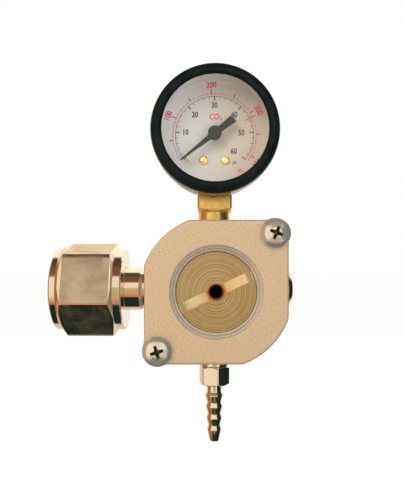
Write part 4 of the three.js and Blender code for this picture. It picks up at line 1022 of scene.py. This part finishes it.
def slotted_screw(name, head_radius, dome, seat_end, finish):
    """A small round-headed slotted screw along Y; its head faces away from its seat."""
    front, back = ends(name, "y")
    spot = (middle(name, "x"), 0, middle(name, "z"))
    faces_front = seat_end == "back"
    tip, crown, way = (back, front, 1) if faces_front else (front, back, -1)
    seat = crown + way * dome
    head = rounded([(0, crown), (head_radius * 0.5, crown + way * 0.06, 0.5),
                    (head_radius * 0.86, crown + way * dome * 0.4, 0.6),
                    (head_radius, seat - way * 0.12, 0.2), (head_radius, seat, 0.05), (0.75, seat),
                    (0.75, tip - way * 0.3),
                    (0.5, tip), (0, tip)], closed=False, steps=5)
    piece = solid(f"{name}_finished", turned(head, "y", spot, 56))
    wide, deep = head_radius * 0.3, dome * 0.45
    slot_shape = turned_outline([(-3, -wide / 2), (3, -wide / 2), (3, wide / 2), (-3, wide / 2)], 12)
    carve(piece, prism(slot_shape, "y", spot, crown - way, crown + way * deep))
    return finish_piece(piece, finishes[finish], stands_for=name)


# ---------------------------------------------------------------- dial print
ZERO = -128.0
SWEEP = 256.0
PRINT = 0.02


def dial_angle(psi):
    """Degrees clockwise from straight up for a pressure in psi."""
    return ZERO + SWEEP * psi / 60


def dial_point(radius, degrees):
    """(x, z) on the dial from a radius and degrees clockwise from straight up."""
    angle = np.radians(degrees)
    return radius * np.sin(angle), radius * np.cos(angle)


def printed(outline):
    """A closed outline of (x, z) dial points as a thin layer of paint."""
    flipped = [(z, x) for x, z in outline]
    return prism(flipped, "y", GAUGE_AXIS, DIAL_FRONT - PRINT, DIAL_FRONT + PRINT)


def arc_line(radius, width, first, last, steps=96):
    """A curved line: an inner arc there and an outer arc back."""
    angles = np.linspace(first, last, steps)
    inner = np.stack(dial_point(radius - width / 2, angles), -1)
    outer = np.stack(dial_point(radius + width / 2, angles[::-1]), -1)
    return printed(np.concatenate([inner, outer]).tolist())


def tick(degrees, first, last, width):
    """A straight mark along a dial radius."""
    angle = math.radians(degrees)
    out = np.array([math.sin(angle), math.cos(angle)])
    side = np.array([out[1], -out[0]]) * width / 2
    return printed([out * first - side, out * last - side, out * last + side, out * first + side])


def lettering(text, height, x, z, degrees=0.0, narrow=0.82, bold=0.0):
    """Words on the dial: a text outline, thickened a little, turned clockwise and set at (x, z)."""
    curve = bpy.data.curves.new("lettering", "FONT")
    curve.body = text
    curve.size = height / 0.72
    curve.align_x = "CENTER"
    curve.align_y = "CENTER"
    curve.resolution_u = 3
    curve.extrude = PRINT
    curve.offset = bold
    holder = bpy.data.objects.new("lettering", curve)
    bpy.context.scene.collection.objects.link(holder)
    mesh = evaluated_mesh(holder)
    count = len(mesh.vertices)
    local = np.empty(count * 3)
    mesh.vertices.foreach_get("co", local)
    local = local.reshape(-1, 3)
    local[:, :2] -= (local[:, :2].min(axis=0) + local[:, :2].max(axis=0)) / 2
    across, up = local[:, 0] * narrow, local[:, 1]
    angle = math.radians(degrees)
    px = across * math.cos(angle) + up * math.sin(angle) + x
    pz = -across * math.sin(angle) + up * math.cos(angle) + z
    points = np.stack([px, -local[:, 2], pz], -1) + np.array([BODY_X, DIAL_FRONT, GAUGE_Z])
    faces = [list(polygon.vertices) for polygon in mesh.polygons]
    bpy.data.objects.remove(holder)
    bpy.data.meshes.remove(mesh)
    return points, faces


def dial_print():
    """The scales: psi in black with ticks inwards, kPa in red with ticks outwards, and their numbers."""
    black_line, red_line = 12.95, 13.8
    black = [arc_line(black_line, 0.16, ZERO, -ZERO)]
    for psi in range(0, 61, 2):
        main = psi % 10 == 0
        black.append(tick(dial_angle(psi), black_line + 0.05, black_line - (1.4 if main else 0.8),
                          0.34 if main else 0.16))
    numbers = {10: (-9.5, 1.1), 20: (-6.5, 6.9), 30: (0.0, 10.0), 40: (6.5, 6.9), 50: (8.9, 0.9),
               60: (6.4, -5.2)}
    for value, (x, z) in numbers.items():
        black.append(lettering(str(value), 1.85, x, z, bold=0.085))
    black.append(lettering("psi", 1.1, 6.6, -9.1, bold=0.03))
    piece = solid("dial_print_black", *black)
    finish_piece(piece, finishes["print_black"], stands_for="gauge_dial", sharp=30)

    red = [arc_line(red_line, 0.15, ZERO, -ZERO)]
    for kpa in range(10, 411, 10):
        degrees = dial_angle(kpa / 6.895)
        if kpa % 100 == 0:
            length, width = 1.55, 0.4
        elif kpa % 50 == 0:
            length, width = 1.35, 0.42
        else:
            length, width = 0.55, 0.18
        red.append(tick(degrees, red_line - 0.05, red_line + length, width))
    for kpa, degrees in ((100, -66.8), (200, -3.6), (300, 60.6), (400, 123)):
        x, z = dial_point(16.75, degrees)
        red.append(lettering(str(kpa), 2.0, x, z, degrees, bold=0.09))
    red.append(tick(dial_angle(45), 11.1, 15.2, 0.36))
    red.append(lettering("CO", 1.9, -0.1, 6.2, bold=0.08))
    red.append(lettering("2", 1.15, 2.1, 5.75, bold=0.06))
    red.append(lettering("kPa", 1.15, 8.5, -11.7, bold=0.03))
    piece = solid("dial_print_red", *red)
    finish_piece(piece, finishes["print_red"], stands_for="gauge_dial", sharp=30)


def gauge_pointer():
    """The pointer: a tapered needle, a round boss and a fish-tail, at the scale's zero."""
    front, back = ends("gauge_pointer", "y")
    hub_front = front
    blade = (hub_front + 1.0, back)
    boss = 2.26
    width = 1.25
    outline = [(0.95, 0), (0.15, 14.3), (-0.15, 14.3), (-0.95, 0), (-0.95, -2), (-width, -8.2),
               (-0.75, -7.3), (-0.35, -8.5),
               (0.0, -7.3), (0.45, -8.5), (0.8, -7.4), (width, -8.0), (0.95, -2)]
    angle = math.radians(ZERO)
    spots = []
    for side, up in outline:
        x = side * math.cos(angle) + up * math.sin(angle)
        z = -side * math.sin(angle) + up * math.cos(angle)
        spots.append((z, x))
    piece = solid("gauge_pointer_finished", prism(spots, "y", GAUGE_AXIS, *blade))
    hub = rounded([(0.8, back), (boss, back), (boss, front, 0.45), (0, front), (0, front + 0.05),
                   (0.8, front + 0.05)], steps=6)
    carve(piece, turned(hub, "y", GAUGE_AXIS, 96), operation="UNION")
    soften(piece, 0.05, 1, 50)
    return finish_piece(piece, finishes["pointer_black"], "pointer")


def stop_pin():
    """The small brass peg beside the zero, its end domed."""
    front, back = ends("stop_pin", "y")
    spot = (middle("stop_pin", "x"), 0, middle("stop_pin", "z"))
    section = rounded([(0, front), (0.4, front, 0.25), (0.4, back), (0, back)], closed=False)
    piece = solid("stop_pin_finished", turned(section, "y", spot, 32))
    return finish_piece(piece, finishes["plain_brass"])


# ---------------------------------------------------------------- everything together
body_piece()
bonnet_piece()
cover_screw("bonnet_screw_upper", 1, 22)
cover_screw("bonnet_screw_lower", -1, -17)
adjusting_screw()
spring("range_spring", 8.35, 1.5, 3.4, "y", BODY_AXIS, -12.35)
spring("poppet_spring", 1.85, 0.5, 4.5, "y", BODY_AXIS, 6.45)
spring("relief_spring", 1.675, 0.55, 4.5, "x", BODY_AXIS, BODY_X + 22.7)
inlet_nut()
inlet_nipple()
inlet_small_parts()
relief_housing()
hose_barb()
gauge_socket()
gauge_case()
gauge_bezel()
gauge_front()
for side_name in ("left", "right"):
    slotted_screw(f"dial_screw_{side_name}", 1.5, 0.8, "back", "plain_brass")
    slotted_screw(f"case_screw_{side_name}", 1.7, 0.9, "front", "plated_screw")
dial_print()
gauge_pointer()
stop_pin()

replaced = {name for name, thing in frame["nodes"].items() if thing.hide_render}
for part in frame["record"]["subparts"]:
    thing = frame["nodes"][part["node"]]
    if part["node"] not in replaced:
        thing.data.materials.clear()
        # Painted shade: the thrust washer and diaphragm plate behind the vent are near-black instead of their
        # own finish.
        in_painted_shade = part["node"] in ("thrust_washer", "diaphragm_plate")
        thing.data.materials.append(finishes["painted_shade_bore" if in_painted_shade else part["material_slot"]])


# ---------------------------------------------------------------- floor, light, camera
FLOOR_LEVEL = -170
FLOOR_REACH = 9000
FLOOR_CELLS = 60


def pale_floor():
    """A wide pale floor well below the part, rising by 2 (1 - cos(x/3000)) (1 - cos(y/3000)) far away."""
    span = np.linspace(-FLOOR_REACH, FLOOR_REACH, FLOOR_CELLS + 1)
    x, y = np.meshgrid(span + BODY_X, span, indexing="ij")
    z = FLOOR_LEVEL + 2 * (1 - np.cos((x - BODY_X) / 3000)) * (1 - np.cos(y / 3000))
    points = np.stack([x, y, z], -1).reshape(-1, 3)
    cells = np.arange(FLOOR_CELLS)
    row, column = np.meshgrid(cells, cells, indexing="ij")
    start = row * (FLOOR_CELLS + 1) + column
    faces = np.stack([start, start + FLOOR_CELLS + 1, start + FLOOR_CELLS + 2, start + 1], -1).reshape(-1, 4)
    mesh = bpy.data.meshes.new("floor")
    mesh.from_pydata((points * MM).tolist(), [], faces.tolist())
    floor = bpy.data.objects.new("floor", mesh)
    bpy.context.scene.collection.objects.link(floor)
    material = surface("pale floor", Roughness=0.9, Base_Color=(0.99, 0.99, 0.99, 1))[0]
    mesh.materials.append(material)
    floor.visible_glossy = False


def degrees_of(tree, first, second):
    """The angle whose tangent is first / second, as a share of a turn from 0 at -180 degrees."""
    return calculate(tree, "MULTIPLY_ADD", calculate(tree, "ARCTAN2", first, second), 1 / FULL_TURN, 0.5)


def stops(*bands):
    """Ramp stops from (from degrees, to degrees, colour) bands."""
    points = []
    for first, last, colour in bands:
        points += [(first / 360 + 0.5, colour), (last / 360 + 0.5, colour)]
    return points


def studio_world():
    """White to the camera, soft white on matt surfaces, and a room of warm and dark bands in reflections."""
    world = bpy.data.worlds.new("studio")
    bpy.context.scene.world = world
    world.use_nodes = True
    tree = world.node_tree
    way = node(tree, "ShaderNodeTexCoord").outputs["Generated"]
    split = node(tree, "ShaderNodeSeparateXYZ", {0: way}).outputs
    front = calculate(tree, "MULTIPLY", split["Y"], -1.0)
    up = ramp(tree, degrees_of(tree, split["Z"], front), stops(
        (-180, -122, (0.78, 0.64, 0.48)),
        (-110, -44.5, (0.013, 0.027, 0.018)),
        (-40, -31, (0.62, 0.27, 0.16)),
        (-25, 3, (0.62, 0.42, 0.20)),
        (9, 33, (1.0, 0.86, 0.62)),
        (40, 64, (0.20, 0.085, 0.045)),
        (72, 98, (0.075, 0.065, 0.035)),
        (106, 180, (1.3, 1.08, 0.78))))
    side = ramp(tree, degrees_of(tree, split["X"], front), stops(
        (-180, -125, (0.80, 0.68, 0.52)),
        (-112, -62, (0.40, 0.17, 0.075)),
        (-52, -12, (1.0, 0.84, 0.58)),
        (-4, 16, (0.66, 0.46, 0.24)),
        (22, 34, (0.95, 0.85, 0.70)),
        (44, 112, (0.016, 0.022, 0.020)),
        (124, 180, (1.0, 0.92, 0.82))))
    x2 = calculate(tree, "POWER", split["X"], 2.0)
    z2 = calculate(tree, "POWER", split["Z"], 2.0)
    sideways = calculate(tree, "DIVIDE", x2, calculate(tree, "ADD", calculate(tree, "ADD", x2, z2), 1e-4))
    room = mix_colour(tree, between(tree, sideways, 0.3, 0.7), up, side)
    path = node(tree, "ShaderNodeLightPath").outputs
    colour = mix_colour(tree, path["Is Glossy Ray"], (1.0, 1.0, 1.0, 1), room)
    colour = mix_colour(tree, path["Is Camera Ray"], colour, (1, 1, 1, 1))
    tree.links.new(colour, tree.nodes["Background"].inputs["Color"])


def soft_light(name, place, size, power, colour):
    """A square area light that looks at the middle of the part."""
    light = bpy.data.lights.new(name, "AREA")
    light.shape = "SQUARE"
    light.size = size * MM
    light.energy = power
    light.color = colour
    thing = bpy.data.objects.new(name, light)
    thing.location = [value * MM for value in place]
    aim = np.array([BODY_X, -5, 10]) - np.array(place)
    thing.rotation_euler = Vector(aim).to_track_quat("-Z", "Y").to_euler()
    thing.visible_glossy = False
    bpy.context.scene.collection.objects.link(thing)


def camera():
    """The camera in front of the part, level, its frame moved up a little."""
    lens = bpy.data.cameras.new("camera")
    lens.lens = 38.2
    lens.sensor_width = 36
    lens.shift_y = 0.0625
    lens.clip_start = 0.005
    thing = bpy.data.objects.new("camera", lens)
    thing.location = (37.2 * MM, -177 * MM, 6.55 * MM)
    thing.rotation_euler = (math.radians(90), 0, 0)
    bpy.context.scene.collection.objects.link(thing)
    bpy.context.scene.camera = thing


pale_floor()
studio_world()
soft_light("window", (-260, -420, 380), 420, 3.2, (1.0, 0.98, 0.95))
soft_light("fill", (420, -380, 120), 500, 1.2, (1.0, 0.96, 0.9))
camera()
bpy.context.scene.view_settings.view_transform = "Standard"
